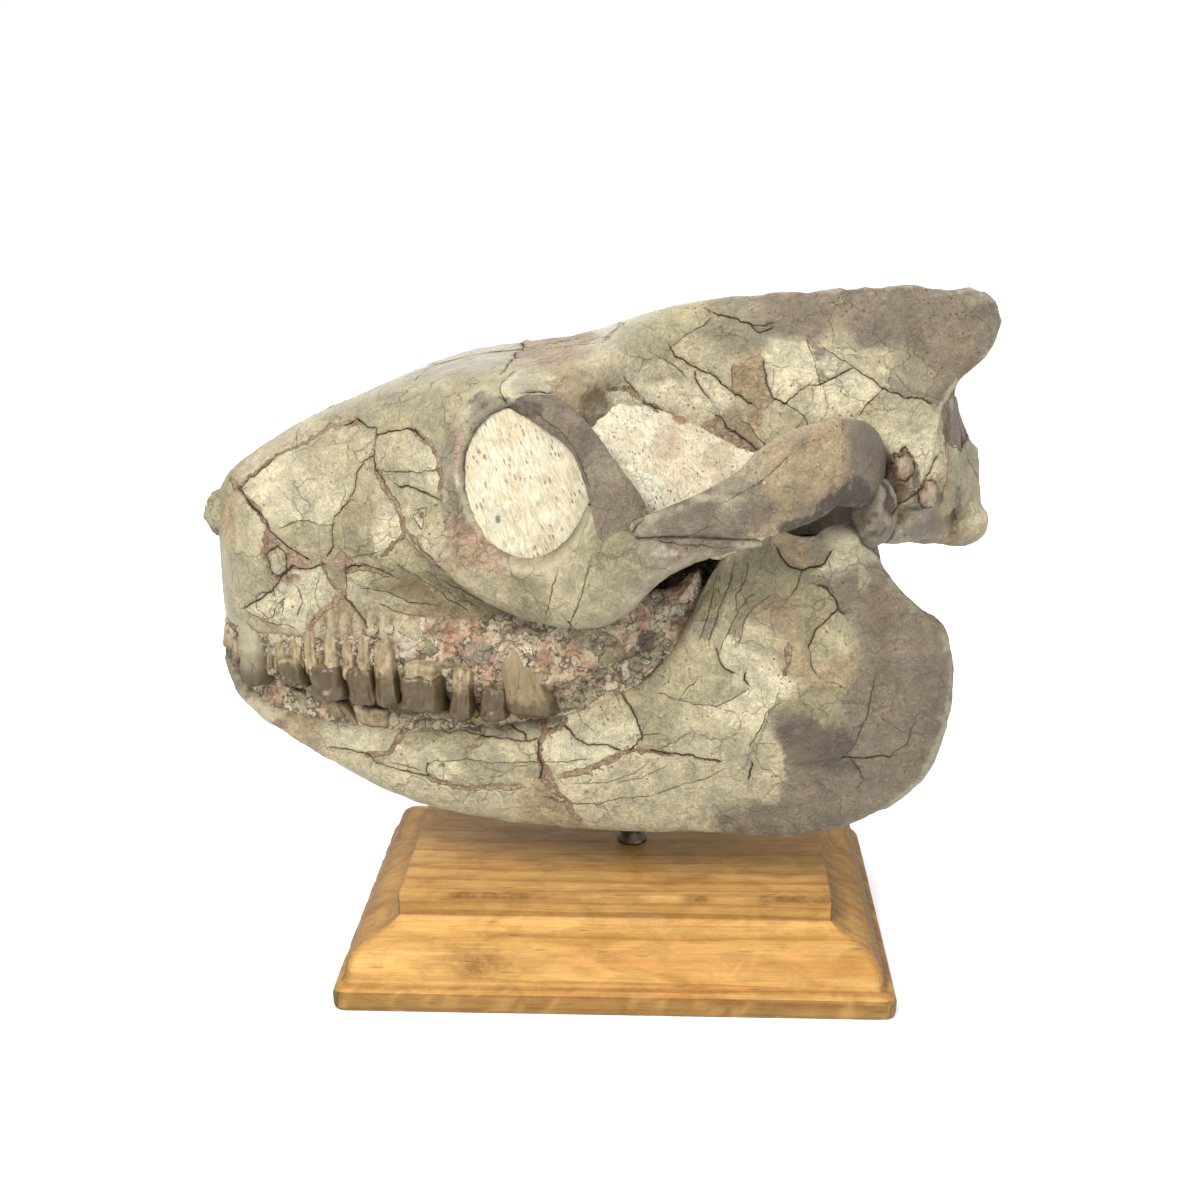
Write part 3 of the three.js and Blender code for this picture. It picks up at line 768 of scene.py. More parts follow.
# Ridges: side, half width, height, path.
craniumRidges = [
    ("left", 0.7, 0.9, [(88, 164.5), (85.5, 161.5), (83.4, 158.6), (82, 154.5), (80.6, 150.5),
    (80, 146.5)]), ("left", 0.6, 0.6, [(82.6, 157), (79.6, 154), (76, 152), (72, 150.4)]),
    ("left", 0.8, 0.7, [(86.6, 160), (86.8, 154), (87.8, 148), (88.4, 141), (87.6, 134)]),
    ("left", 0.6, 0.5, [(84, 152), (84.6, 147), (84.2, 141)]),
]
# The 'shadow' patches are painted shade: by the socket's upper rim, in the crevices about the ear and at the
# arch's root. So is the 'umber' patch behind the top of the bar. The 'bone' patches at (-17, 128) and (-33,
# 118) are painted light on the shaded underside of the cheek.
craniumPatches = [
    (-29, 162.8, 6.6, 3, "shadow", 0.9), (-33.2, 158.8, 2.4, 3.6, "shadow", 0.8),
    (-36.8, 152.6, 1.8, 7, "pink", 1.0), (-36.4, 150, 0.8, 5, "rust", 0.8),
    (-37.4, 144, 0.8, 2.6, "chalk", 1.0), (-37.4, 131.5, 3.4, 4.6, "pink", 0.9),
    (-41, 140, 1.3, 9, "filler", 0.6), (-85.4, 118.4, 4.4, 2.2, "pink", 1.0),
    (-87, 114.4, 4.6, 1.1, "rust", 0.8), (-88.8, 118.8, 2.7, 3.9, "olive", 1.0),
    (-98.4, 126, 2, 9, "olive", 0.7), (-91, 105.6, 6, 2, "cream", 0.7), (-62, 106, 9, 2.6, "clay", 0.5),
    (-34, 126, 5, 2.6, "clay", 0.6), (-20.6, 167, 3.6, 3.4, "olive", 0.8), (-8, 165, 7, 5.4, "tan", 0.75),
    (-4, 160.6, 4, 6, "umber", 0.75), (-1, 168, 3, 3, "clay", 0.5), (-16, 172.5, 8, 1.6, "clay", 0.9),
    (8, 164, 9, 5, "cream", 0.9), (-17, 128, 10, 6, "bone", 0.5), (-33, 118, 9, 6, "bone", 0.7),
    (18, 160, 4, 3.4, "chalk", 0.6), (73, 146.6, 2.9, 3.3, "rust", 1.0),
    (71.8, 148, 1.4, 1.4, "chalk", 0.7), (79.4, 139.4, 3.1, 3.2, "pink", 1.0),
    (78, 141.2, 2, 1.3, "rust", 0.9), (73, 138.2, 3, 3, "clay", 0.8), (73.6, 131.4, 3.4, 2.2, "chalk", 0.5),
    (78.6, 149.4, 3.4, 4.6, "cream", 0.9), (83, 129, 7, 3.2, "filler", 0.8),
    (84, 141, 2.4, 10, "clay", 0.5), (88.6, 134, 1.4, 6, "shadow", 0.6), (95, 129.6, 3.4, 4.4, "bone", 0.9),
    (76.4, 143, 1.2, 4, "shadow", 0.8), (75.6, 136, 3, 1, "shadow", 0.8),
    (66.6, 137, 6, 13, "shadow", 0.95), (57, 170, 4, 3.6, "cream", 1.0), (-71, 119, 7, 2.6, "pink", 0.55),
    (-46, 106, 9, 3, "pink", 0.5), (-28, 107, 8, 2.4, "clay", 0.6), (31, 133.4, 6, 1.8, "filler", 0.8),
    (14, 131.6, 3, 1, "chalk", 0.8), (36.4, 157.5, 2.6, 4.2, "clay", 0.9), (2, 178, 12, 2, "olive", 0.4),
]
# Cracks by the side they are laid from and their kind, each as a path.
# From the left and right a path holds x and z, from the top and below x and y, from behind y and z.
craniumCracks = {
    ("left", "pink"): [
        [(-104, 138), (-100.7, 136.5), (-94.7, 141.2), (-90.8, 144.5), (-88.5, 146), (-82, 148.7)],
        [(-82, 148.7), (-77.3, 151.5), (-74.5, 153.3), (-71, 154.2), (-67, 154.8)], [(-49.7, 155.2),
        (-47.5, 153.5), (-45, 152.2), (-43, 149.8), (-42.2, 147.5), (-42.3, 143)], [(-60, 143.8),
        (-58, 140.5), (-56, 138), (-55, 135), (-53.2, 132.7), (-53.6, 130), (-53.8, 128), (-57, 125),
        (-59.8, 121.5)], [(-101, 137), (-97, 134.5), (-93.8, 132.6), (-91, 128), (-92, 124), (-92, 120),
        (-90.6, 115.8)], [(-76.4, 118.4), (-74.9, 114.3), (-73.2, 111.8), (-71, 111)], [(-71, 110),
        (-72.7, 109.3), (-75.4, 107), (-77.5, 106), (-79, 103.6), (-81, 101)], [(-69.5, 117),
        (-66.2, 117.7), (-62.4, 117.3), (-59.2, 116)], [(-53.6, 130), (-51, 128.8), (-48.5, 127.5),
        (-46, 124.5), (-43.8, 122.3), (-40.5, 120)], [(0.2, 165), (3, 165), (5.3, 164), (7.7, 162),
        (10.2, 160.2), (12.3, 158.5), (15.3, 156.5), (17.5, 155.5)]],
    ("left", "dark"): [
        [(-100.7, 136.5), (-94.7, 141.2), (-90.8, 144.5)], [(-70, 154), (-67, 155.8), (-63.5, 154.5),
        (-61, 154.5), (-60.8, 152.5), (-56.5, 154), (-52.5, 155), (-49.7, 155.2), (-47.5, 153.5)],
        [(-61, 154), (-61, 151.3), (-61, 148.5), (-60.6, 145), (-60.2, 143.8)], [(-60.8, 148),
        (-63.6, 146.6), (-66, 143.5), (-66.2, 140), (-68, 136.5), (-70.3, 133.8), (-72.3, 131.7),
        (-73, 129.2)], [(-73.2, 129), (-73, 125.2), (-73.3, 123.5), (-75, 121.3)], [(-100.7, 136.6),
        (-97, 133.8), (-93.8, 132), (-91.5, 129.8), (-91, 127.5)], [(-91, 127.5), (-88.2, 125),
        (-85.5, 122.8), (-82.2, 120.7), (-80, 120)], [(-90.6, 111), (-88.6, 113.6), (-86.8, 116),
        (-84.7, 117.6), (-83.3, 117), (-80.5, 117), (-77.2, 118), (-76.1, 118.5)], [(-90.6, 111),
        (-93, 109), (-96, 107.4), (-98.3, 106), (-100, 104.8)], [(-71, 109.5), (-69.6, 108.4),
        (-66.8, 105.8), (-65, 103)], [(-69.8, 118), (-66.2, 118.6), (-62.4, 118), (-59.2, 116.6),
        (-57.8, 115.6)], [(-46, 125), (-44.4, 123.3), (-43.2, 121.4)], [(-53.8, 140.8), (-51.6, 141.3),
        (-48.2, 141), (-44.8, 140), (-42, 139.2)], [(-88.4, 122.8), (-86.4, 121.4), (-85.9, 118.4),
        (-86.8, 115.6), (-88.8, 114.8), (-90.8, 116.2), (-91.6, 119), (-90.6, 121.8), (-88.4, 122.8)],
        [(-20, 166), (-17, 166.4), (-15, 165.8)], [(8.5, 161.4), (10.2, 160.2), (12.3, 158.5), (14, 157.4)],
        [(3.5, 167), (5, 165.5), (7, 163.6)], [(15, 173), (16.7, 171), (20.2, 169), (22.5, 167.6),
        (25.3, 167), (27.6, 165), (29.5, 163.3), (32.8, 161.5), (35.3, 160.3)], [(21.2, 167), (21.5, 165.3),
        (23.2, 163), (24.8, 160.8)], [(26.5, 157), (28.8, 155.8), (30.6, 153.8), (35, 150.8), (38.7, 148)],
        [(38.8, 169.7), (39.5, 164.7), (41, 161.9), (44.1, 160.5)], [(44, 160.5), (46, 162.5),
        (49.8, 164.7), (53.6, 165.6), (57.3, 167), (61.2, 169), (63, 168)], [(63, 168), (65.6, 166.3),
        (68.8, 164), (71.9, 162.7), (75, 161.3), (78.8, 161.2), (81.2, 160.3)], [(24, 182), (27, 180.5),
        (31, 180), (36, 178), (41.5, 178.6)], [(36, 177.6), (38, 176.6), (41, 177.2)], [(82.5, 148),
        (80.2, 145), (78, 142), (75.5, 139.4), (72.5, 138), (69.5, 137)], [(69.8, 147), (71, 149.8),
        (74, 150.4), (76.2, 148), (75.6, 144.8), (73.6, 143.2), (71, 143.8)], [(82.4, 140), (81, 142.8),
        (78.4, 143), (76.4, 141), (76.8, 137.6), (79, 135.8), (81.8, 136.8), (82.4, 140)], [(-9.6, 112),
        (-9.4, 110.2)]],
    ("left", "faint"): [
        [(-60.2, 144.4), (-54, 144.6), (-49.3, 145), (-45.2, 146.2), (-43.3, 146.7)], [(-59.4, 143),
        (-57, 140), (-54.6, 137), (-53.4, 134)], [(-73, 129.2), (-77, 129), (-79.4, 130.2), (-83.9, 129.6),
        (-87, 128)], [(-70, 119.6), (-70.3, 114), (-70.8, 110.8), (-71, 109.5)], [(-70.2, 122.3),
        (-68.5, 120.2), (-66.3, 121.6), (-61.8, 122.6), (-58, 124)], [(-50.2, 134), (-47.6, 136.4),
        (-46.2, 137), (-46.8, 134), (-48, 131.4), (-50.2, 134)], [(-99.4, 110), (-96, 108.6),
        (-93.4, 110.4), (-91, 110)], [(-96, 108.6), (-95.4, 105.6), (-92.6, 103.8)], [(-84, 112),
        (-82.6, 108.4), (-84, 104.6)], [(-78, 114), (-79.4, 110), (-78, 106.6)], [(-66, 112.4),
        (-60, 111.4), (-54, 109), (-48, 108.4)], [(-62, 108.6), (-56, 106.4), (-50, 106)], [(-48, 117.6),
        (-42, 113.4), (-36, 110.4), (-30, 109)], [(-56, 120), (-50, 115), (-44, 110), (-38, 107.6)],
        [(-91, 103.5), (-90, 106), (-87.5, 108.4)], [(-88.6, 104), (-88, 107), (-87.5, 108.4)],
        [(-98.3, 104.2), (-94, 102.6), (-90, 102), (-85, 101.2)], [(-84, 148), (-84.4, 151), (-84, 153.5)],
        [(-24, 169.3), (-26.5, 167.5), (-26.8, 165.5), (-25, 163.8)], [(11, 172), (15.8, 169), (19, 166)],
        [(25, 179.2), (22.5, 177.8), (18, 175.5), (15, 173)], [(31, 169), (30.6, 166), (31, 162.5)],
        [(44, 160.5), (47, 159.3), (49, 157), (49.7, 155.7)], [(63, 168), (57.9, 171), (54, 173.4)],
        [(68.8, 164), (65, 161), (62.6, 158)], [(34, 155.5), (36.5, 153.2), (40, 149.5)], [(50, 174.5),
        (52, 169), (53, 165)], [(87, 158), (87.6, 150), (88.6, 142), (88, 134), (89.4, 128)], [(84.6, 156),
        (84.2, 149), (84.8, 142), (83.6, 136)], [(-4.6, 126.5), (-5.4, 122), (-7, 117.6), (-8.3, 114),
        (-9.4, 111.2)], [(-12.6, 124), (-14, 119), (-15.4, 113.6)], [(13, 134.2), (20, 133.6), (29, 133.4)]],
    ("top", "faint"): [
        [(-107, 0.4), (-80, -0.5), (-55, 0.6), (-30, -0.3), (-8, 0.2)], [(-24, -4), (-12, -9), (-2, -14)],
        [(-52, -12), (-48, 2), (-53, 14)], [(-100, -6), (-92, -1), (-86, 5)]],
    ("top", "dark"): [[(-27, -26), (-25, -14), (-26, -6), (-24, 2), (-26, 12), (-24, 24)]],
    ("top", "pink"): [[(-90, 6), (-78, 3), (-66, 8), (-58, 13)], [(-2, -12), (2, -3), (1, 6), (4, 14)]],
    ("back", "faint"): [
        [(-22, 150), (-12, 146), (-3, 149), (8, 143), (20, 147)], [(12, 158), (9, 149), (12, 139)]],
    ("back", "dark"): [[(-9, 160), (-7, 151), (-9, 143), (-6, 134)]],
}
# Plates grow from seeds: x, z, tone.
craniumSeeds = [
    (-106, 137, "moss"), (-104, 139.5, "tan"), (-95, 147, "olive"), (-85, 153, "olive"),
    (-72, 158.5, "olive"), (-60, 163, "olive"), (-48, 167, "moss"), (-97, 140.8, "bone"),
    (-98, 129, "bone"), (-104, 118, "olive"), (-97, 115, "olive"), (-104, 126, "tan"), (-86, 143, "cream"),
    (-79, 147, "bone"), (-81, 135, "cream"), (-72, 148, "bone"), (-63.5, 143, "olive"), (-66, 129, "moss"),
    (-79, 125, "olive"), (-83, 120, "pink"), (-88.4, 119, "olive"), (-91.8, 122, "pink"),
    (-54, 149, "bone"), (-46, 150, "cream"), (-47, 143, "cream"), (-56, 143, "bone"), (-51, 137, "bone"),
    (-47.6, 133.6, "cream"), (-44, 130, "bone"), (-43, 136, "olive"), (-38.6, 141, "ash"),
    (-57, 128, "cream"), (-50, 123, "olive"), (-79, 112, "cream"), (-86, 111, "cream"), (-95, 106, "cream"),
    (-90, 107, "ash"), (-65, 111, "bone"), (-56, 112, "moss"), (-46, 113, "moss"), (-36, 112, "moss"),
    (-22, 110, "moss"), (-66, 103, "tan"), (-75, 103, "tan"), (-45, 163, "olive"), (-34, 168, "moss"),
    (-55, 158, "olive"), (-30, 165, "olive"), (-21, 167, "cream"), (-19, 172, "clay"), (-12, 172, "tan"),
    (-25, 117.5, "moss"), (-11, 120, "olive"), (0, 122, "olive"), (-36, 124, "tan"), (-31, 126.5, "pink"),
    (4, 128, "moss"), (12, 127, "ash"), (20, 131.5, "filler"), (30, 133.6, "filler"), (0, 172, "bone"),
    (-4, 164, "moss"), (8, 175, "olive"), (20, 176, "olive"), (30, 176, "ash"), (9, 166, "cream"),
    (17, 163, "bone"), (21, 158, "cream"), (25, 170, "bone"), (35, 164, "clay"), (45, 168, "cream"),
    (50, 171, "cream"), (56, 162, "cream"), (48, 162, "bone"), (43, 156, "olive"), (37.5, 157, "bone"),
    (60, 156, "olive"), (68, 169, "bone"), (66, 159, "olive"), (75, 156, "bone"), (75, 167, "ash"),
    (86, 172, "filler"), (88, 160, "filler"), (50, 178, "filler"), (66, 177, "filler"), (80, 181, "filler"),
    (94, 178, "filler"), (38, 179, "ash"), (28, 181, "moss"), (58, 173, "bone"), (33, 154, "tan"),
    (27, 153, "pink"), (15, 157.5, "pink"), (76, 150.5, "cream"), (73.5, 146, "rust"),
    (79.3, 138.4, "pink"), (74, 133.6, "ash"), (86, 146, "olive"), (92, 131, "olive"), (93, 125, "tan"),
    (66, 146, "filler"),
]


def socketFace(x, z):
    middleX, middleZ = socket["at"]
    return socket["face"] + (middleZ - z) * socket["leanDown"] + (x - middleX) * socket["leanBack"]


def pressSockets(mesh):
    places = points(mesh)
    x, y, z = places.T
    for side in sides.values():
        rise = (z - socket["at"][1]) / socket["height"]
        along = (x - socket["at"][0]) / socket["length"] / (1 + socket["topWider"] * rise)
        inside = 1 - smoothstep(0.97, 1.03, np.hypot(along, rise))
        over = np.maximum(y * side - (socketFace(x, z) - socket["recess"]), 0) * (y * side > 25)
        y -= side * over * inside
    setPoints(mesh, places)


def shapeCranium(mesh):
    places, out = points(mesh), normalsOf(mesh)
    x, y, z = places.T
    lift = np.zeros(len(places))
    for side in sides.values():
        for settings in craniumDents:
            lift += dent(places, out, side, *settings)
    ribbed = band(z, 97, 100, 104, 108) * band(x, -84, -80, -58, -54)
    lift += 0.7 * ribbed * np.sin(x * math.tau / 3.6)
    worn = smoothstep(76, 90, x) * smoothstep(158, 168, z)
    worn = np.maximum(worn, 0.7 * smoothstep(183, 187, z) * smoothstep(8, 20, x))
    worn = np.maximum(worn, 0.6 * smoothstep(86, 92, x) * smoothstep(133, 138, z))
    lift += worn * (1.1 * lumps(places, 4.5, 3, 15) - 0.5)
    places += out * lift[:, None]
    heights, limits = zip(*napeEdge)
    limit = np.interp(z, heights, limits)
    limit += 0.9 * np.array([noise.noise((place[2] / 1.7, place[1] / 6, 5)) for place in places.tolist()])
    behind = (z > 158) & (x > limit)
    x[behind] = limit[behind] + 0.12 * (x[behind] - limit[behind])
    setPoints(mesh, places)


# The widths of the three kinds of crack in millimetres, and the colours of the bone's surface.
# 'edge' is also painted shade in the hollows, and 'worn' painted highlight on flecks and raised edges.
bone = {
    "line": 0.12, "seam": 0.6, "hair": 0.07, "hairlines": 0.6, "pitted": 0.8, "roughness": 0.38,
    "specular": 0.36,
    "deep": (104, 78, 52), "edge": (132, 104, 72), "stain": (150, 126, 88), "speck": (84, 62, 42),
    "worn": (240, 228, 196), "seamLight": (222, 198, 162), "seamRosy": (192, 138, 106),
    "seamDull": (152, 124, 88),
}


def crackShare(tree, kind, where, half, soft, wander):
    offset, distance, _ = partsOf(attribute(tree, kind, "Vector"))
    away = unsigned(plus(offset, wander))
    wide = ramp(cloud(where, 4.5, 3, 0.6), 0.3, 0.7, half * 0.25, half * 1.75)
    near = ramp(distance, 1.5, 2.2, 1, 0)
    inside = ramp(minus(away, wide), -soft, soft, 1, 0)
    return times(inside, near), unsigned(minus(away, wide)), distance


def boneFinish(name):
    material, tree, shader, where = newMaterial(name)
    deep, edge, worn, speck, stain = (paint(bone[key]) for key in ("deep", "edge", "worn", "speck", "stain"))
    crumbly, hollow = attribute(tree, "crumbly"), attribute(tree, "hollow")
    mottled = cloud(where, 10, 6, 0.66, 0.6)
    marbled = cloud(where, 2.6, 6, 0.72, 1.2)
    color = attribute(tree, "tone", "Color")
    color = shaded(color, mottled, 0.32, 0.68, (0.76, 0.77, 0.76), (1.2, 1.17, 1.1))
    color = shaded(color, marbled, 0.34, 0.66, (0.74, 0.74, 0.73), (1.2, 1.19, 1.16))
    color = shaded(color, cloud(where, 0.55, 3, 0.75), 0.3, 0.7, (0.76, 0.74, 0.7), (1.17, 1.17, 1.16))
    # Painted glints: small pale flecks in the 'worn' colour.
    color = blend(ramp(cloud(where, 1.2, 5, 0.8), 0.6, 0.7, 0, 0.6), color, worn)
    stains = cloud(stretched(where, (0.7, 1, 1.3)), 13, 6, 0.65, 1.2)
    color = blend(ramp(stains, 0.55, 0.72, 0, 0.4), color, stain)

    # hairlines all over, and finer ones where the bone is crumbly
    hair = ramp(cells(warped(where, 7, 8), 9.5, "DISTANCE_TO_EDGE"), 0.006, 0.02, 1, 0)
    hair = times(hair, ramp(cloud(where, 12, 2), 0.44, 0.58), bone["hairlines"])
    small = ramp(cells(warped(where, 3, 3.4), 3.4, "DISTANCE_TO_EDGE"), 0.015, 0.06, 1, 0)
    hair = larger(hair, times(small, ramp(crumbly, 0.25, 0.9), 0.6))
    pit = times(ramp(cells(where, 1.5), 0.1, 0.22, 1, 0), ramp(cloud(where, 10, 4, 0.7), 0.5, 0.68))
    pit = times(pit, bone["pitted"])

    jitter = times(minus(cloud(where, 1.3, 3, 0.6), 0.5), 0.5)
    line, _, lineAway = crackShare(tree, "dark", where, bone["line"], 0.1, jitter)
    seam, seamRim, seamAway = crackShare(tree, "pink", where, bone["seam"], 0.16, times(jitter, 2.2))
    faint, _, _ = crackShare(tree, "faint", where, bone["hair"], 0.08, jitter)
    faint = times(faint, ramp(cloud(where, 6, 2), 0.32, 0.5, 0.35, 1))

    color = blend(times(hair, 0.75), color, edge)
    color = blend(pit, color, speck)
    crumbs = cloud(where, 1.5, 5, 0.75)
    filling = blend(ramp(crumbs, 0.38, 0.6), paint(bone["seamDull"]), paint(bone["seamLight"]))
    filling = blend(ramp(cloud(where, 5, 3, 0.7), 0.45, 0.62, 0, 0.75), filling, paint(bone["seamRosy"]))
    color = blend(seam, color, filling)
    seamEdge = times(ramp(seamRim, 0.02, 0.2, 1, 0), ramp(mottled, 0.4, 0.56, 0.15, 0.9),
                     ramp(seamAway, 1.5, 2.2, 1, 0))
    color = blend(seamEdge, color, edge)
    color = blend(times(ramp(lineAway, 0.2, 1.5, 0.4, 0), ramp(marbled, 0.35, 0.65, 0.2, 1)), color, edge)
    color = blend(times(faint, 0.8), color, edge)
    line = times(line, ramp(cloud(where, 5, 3), 0.3, 0.55, 0.45, 1))
    color = blend(line, color, deep)
    # Painted shade, partly dirt, in the hollows in the 'edge' colour, and painted highlight, partly wear, on
    # raised edges in the 'worn' colour.
    color = blend(ramp(hollow, 0.05, 0.75, 0, 0.7), color, edge)
    color = blend(ramp(hollow, -0.6, -0.08, 0.4, 0), color, worn)

    gloss = ramp(marbled, 0.3, 0.7, bone["roughness"] - 0.1, bone["roughness"] + 0.12)
    rough = times(cloud(where, 1.0, 5, 0.7), plus(crumbly, 0.45))
    rough = plus(rough, times(marbled, 0.7), times(seam, crumbs, 1.3))
    low = plus(times(hair, 0.5), larger(pit, plus(faint, line)))
    plug(shader, {"Base Color": color, "Roughness": plus(gloss, times(crumbly, 0.22)),
                  "Specular IOR Level": bone["specular"], "Normal": relief(minus(rough, low), 1.0, 1.0)})
    return material


def makeCranium():
    obj = craniumBlank()
    relax(obj.data, cranium["settle"])
    pressSockets(obj.data)
    shapeCranium(obj.data)
    relax(obj.data, 1)
    places = points(obj.data)
    x, y, z = places.T
    joined = smoothstep(74, 80, x) * smoothstep(150, 156, z) * smoothstep(3, 5, abs(y))
    setPoints(obj.data, averaged(places, edgesOf(obj.data), 10, 0.5 * joined))
    carve(obj, craniumCracks, bothSides(craniumSeeds), craniumRidges, craniumPatches, split=(1.4, 0.6))
    finishPiece(obj, boneSkin, "bone", "skull_muzzle", "skull_brow", "skull_braincase", "skull_nape",
                "cheek_left", "cheek_right")


# The arch and the bar behind the eye are restored in a grey filler.

archCracks = {
    ("left", "dark"): [
        [(9, 139.6), (6.6, 137.6), (6.2, 135.4), (9, 133.6), (13.3, 134), (20, 136), (24.6, 136)]],
    ("left", "faint"): [
        [(24.6, 136), (30.3, 135.2), (37, 135), (43.5, 136.5)], [(20, 136), (22.5, 137.6), (24, 138.6)],
        [(30, 146), (36, 149.6), (42, 155)]],
}
archSeeds = [
    (10, 136.5, "ash"), (15, 139, "filler"), (25, 140, "filler"), (36, 142, "filler"), (44, 148, "tan"),
    (52, 155, "tan"), (56, 150, "clay"), (47, 140, "filler"), (60, 152, "filler"), (31, 144.5, "ash"),
    (40, 137.5, "tan"),
]
barSeeds = [
    (-20, 165, "filler"), (-14, 160.5, "filler"), (-7, 156, "filler"), (-2, 150, "ash"), (2, 143, "filler"),
    (5, 135, "filler"),
]
barCracks = {
    ("left", "faint"): [[(-18, 162), (-11, 157.5), (-7, 152), (-4.4, 145)]],
}
archPatches = [
    (58.6, 139.6, 9.6, 9.4, "shadow", 1.0), (48, 137.6, 8, 3.4, "shadow", 0.9),
    (65, 152, 4, 9, "filler", 0.8), (49, 153, 6, 6, "tan", 0.9), (55, 152, 3, 5, "tan", 0.7),
    (26, 145.4, 8, 1, "bone", 0.6), (42, 150, 2.4, 1.4, "chalk", 0.3),
]
barPatches = [
    (-22, 162.6, 6, 2.4, "shadow", 0.7), (-7, 154, 8, 13, "slate", 0.25), (-6, 150, 1.4, 8, "slate", 0.4),
    (1, 149, 2, 3, "ash", 0.4), (5, 134, 5, 4, "filler", 0.6),
]


def makeStrut(name, stations, side, deepWay, cracks, seeds, cell, rows, ridges, patches):
    bm = bmesh.new()
    limb(bm, stations, side, deepWay, around=28, rows=rows)
    obj = newObject(name + "_bone", bm)
    remesh(obj, cell)
    relax(obj.data, 2)
    carve(obj, cracks, bothSides(seeds), ridges, patches, grain=0.2, tilt=0.1, split=(1.2,))
    finishPiece(obj, boneSkin, "restored_bone", name)


def makeStruts():
    archRidges = [("left", 1.3, 0.4, [(9, 139.6), (16, 142), (24, 145.3), (32, 149), (40, 156), (46, 160.5)])]
    for name, side in sides.items():
        makeStrut(f"arch_{name}", squamosal, side, (0, 0, 1), archCracks, archSeeds, 0.8, 60, archRidges,
                  archPatches)
        makeStrut(f"orbit_bar_{name}", orbitBar, side, (1, 0, 0), barCracks, barSeeds, 0.7, 40, (),
                  barPatches)


# The lower jaw. Stations of one half: x, lower edge, upper edge, half width of its middle, half thickness.

jawStations = [
    (-110.8, 84, 88.5, 3.4, 3.2), (-106.5, 77.2, 86, 7, 6.8), (-99.5, 71.4, 80, 9.6, 9.4),
    (-87, 65, 75.6, 12, 11.8), (-79, 60.6, 74, 15.5, 10.5), (-72, 57.2, 73.8, 19.6, 8),
    (-57, 51.6, 73, 23.2, 7.6), (-42, 48.6, 74.2, 25.5, 7.5), (-28, 46.6, 76.5, 27.4, 7.5),
    (-13, 45.8, 80, 29.4, 7.3), (1, 45.9, 86, 31, 7), (9, 46, 91, 32, 6.8), (17, 46.3, 101, 33, 6.4),
    (24, 46.6, 116, 34, 6), (31, 46.5, 129, 35, 5.6), (38, 46.3, 133.3, 35.6, 5.2),
    (47, 46.6, 130, 36, 5.4), (58, 49.2, 129.1, 36.4, 5.8), (65.4, 52, 126.4, 36.6, 5.2),
    (72.6, 56.6, 117, 36.8, 4.8), (79.5, 62.4, 110.6, 37, 4.4), (85, 71.5, 105, 37, 3.4),
    (87.4, 82, 96, 37, 1.8),
]
jawFlange = [(61.4, 38, 124.6, 1.3, 1.8), (62.6, 39, 121, 1.4, 1.9), (65, 38.6, 116, 1.3, 1.7)]
rightRear = {"from": 52, "share": 0.78}  # the right half is worn shorter at its rear
jaw = {"cell": 1.05, "rows": 120, "around": 64, "squareness": 0.8, "settle": 5}
jawDents = [
    (30, 112, 12, 14, 1.4), (46, 104, 10, 16, -0.7), (60, 85, 16, 18, -0.5), (33, 93, 14, 9, 0.8),
    (-40, 69, 26, 6, -0.5), (70, 100, 6, 10, 0.8), (-6.7, 59.3, 1.2, 1.0, 0.9), (-46, 64.6, 1.5, 1.0, 0.9),
    (61, 100, 2, 3, 0.8), (-92, 71, 4, 4, 0.7), (40, 82, 8, 20, -0.5),
]
jawRidges = [("left", 1.6, 0.7, [(84, 106), (86, 98), (86, 88), (84, 76), (80, 66), (72, 57)]),
             ("left", 1.0, 0.4, [(51, 129), (56, 129.2), (61, 127.4)])]
jawPatches = [
    (-98, 75, 9, 5, "cream", 0.7), (-88, 68.6, 6, 3, "tan", 0.7), (-92, 72, 2.6, 2, "rust", 0.6),
    (58, 128.6, 4.2, 1.5, "cream", 0.9), (49, 76, 7, 9, "slate", 0.8), (-52, 64, 10, 6, "cream", 0.5),
    (52, 62, 9, 9, "filler", 0.9), (42, 72, 3, 4, "bone", 0.8), (67, 86, 8, 13, "filler", 0.8),
    (63.4, 121, 1.8, 4.4, "bone", 0.7), (46, 101, 5, 7, "tan", 0.5), (67, 112, 4, 8, "umber", 0.35),
    (30, 60, 9, 6, "bone", 0.4), (-103, 80, 3, 3, "umber", 0.6), (-18.6, 77, 2.4, 2.6, "pink", 0.9),
    (-16, 58, 2.2, 6, "clay", 0.5),
]
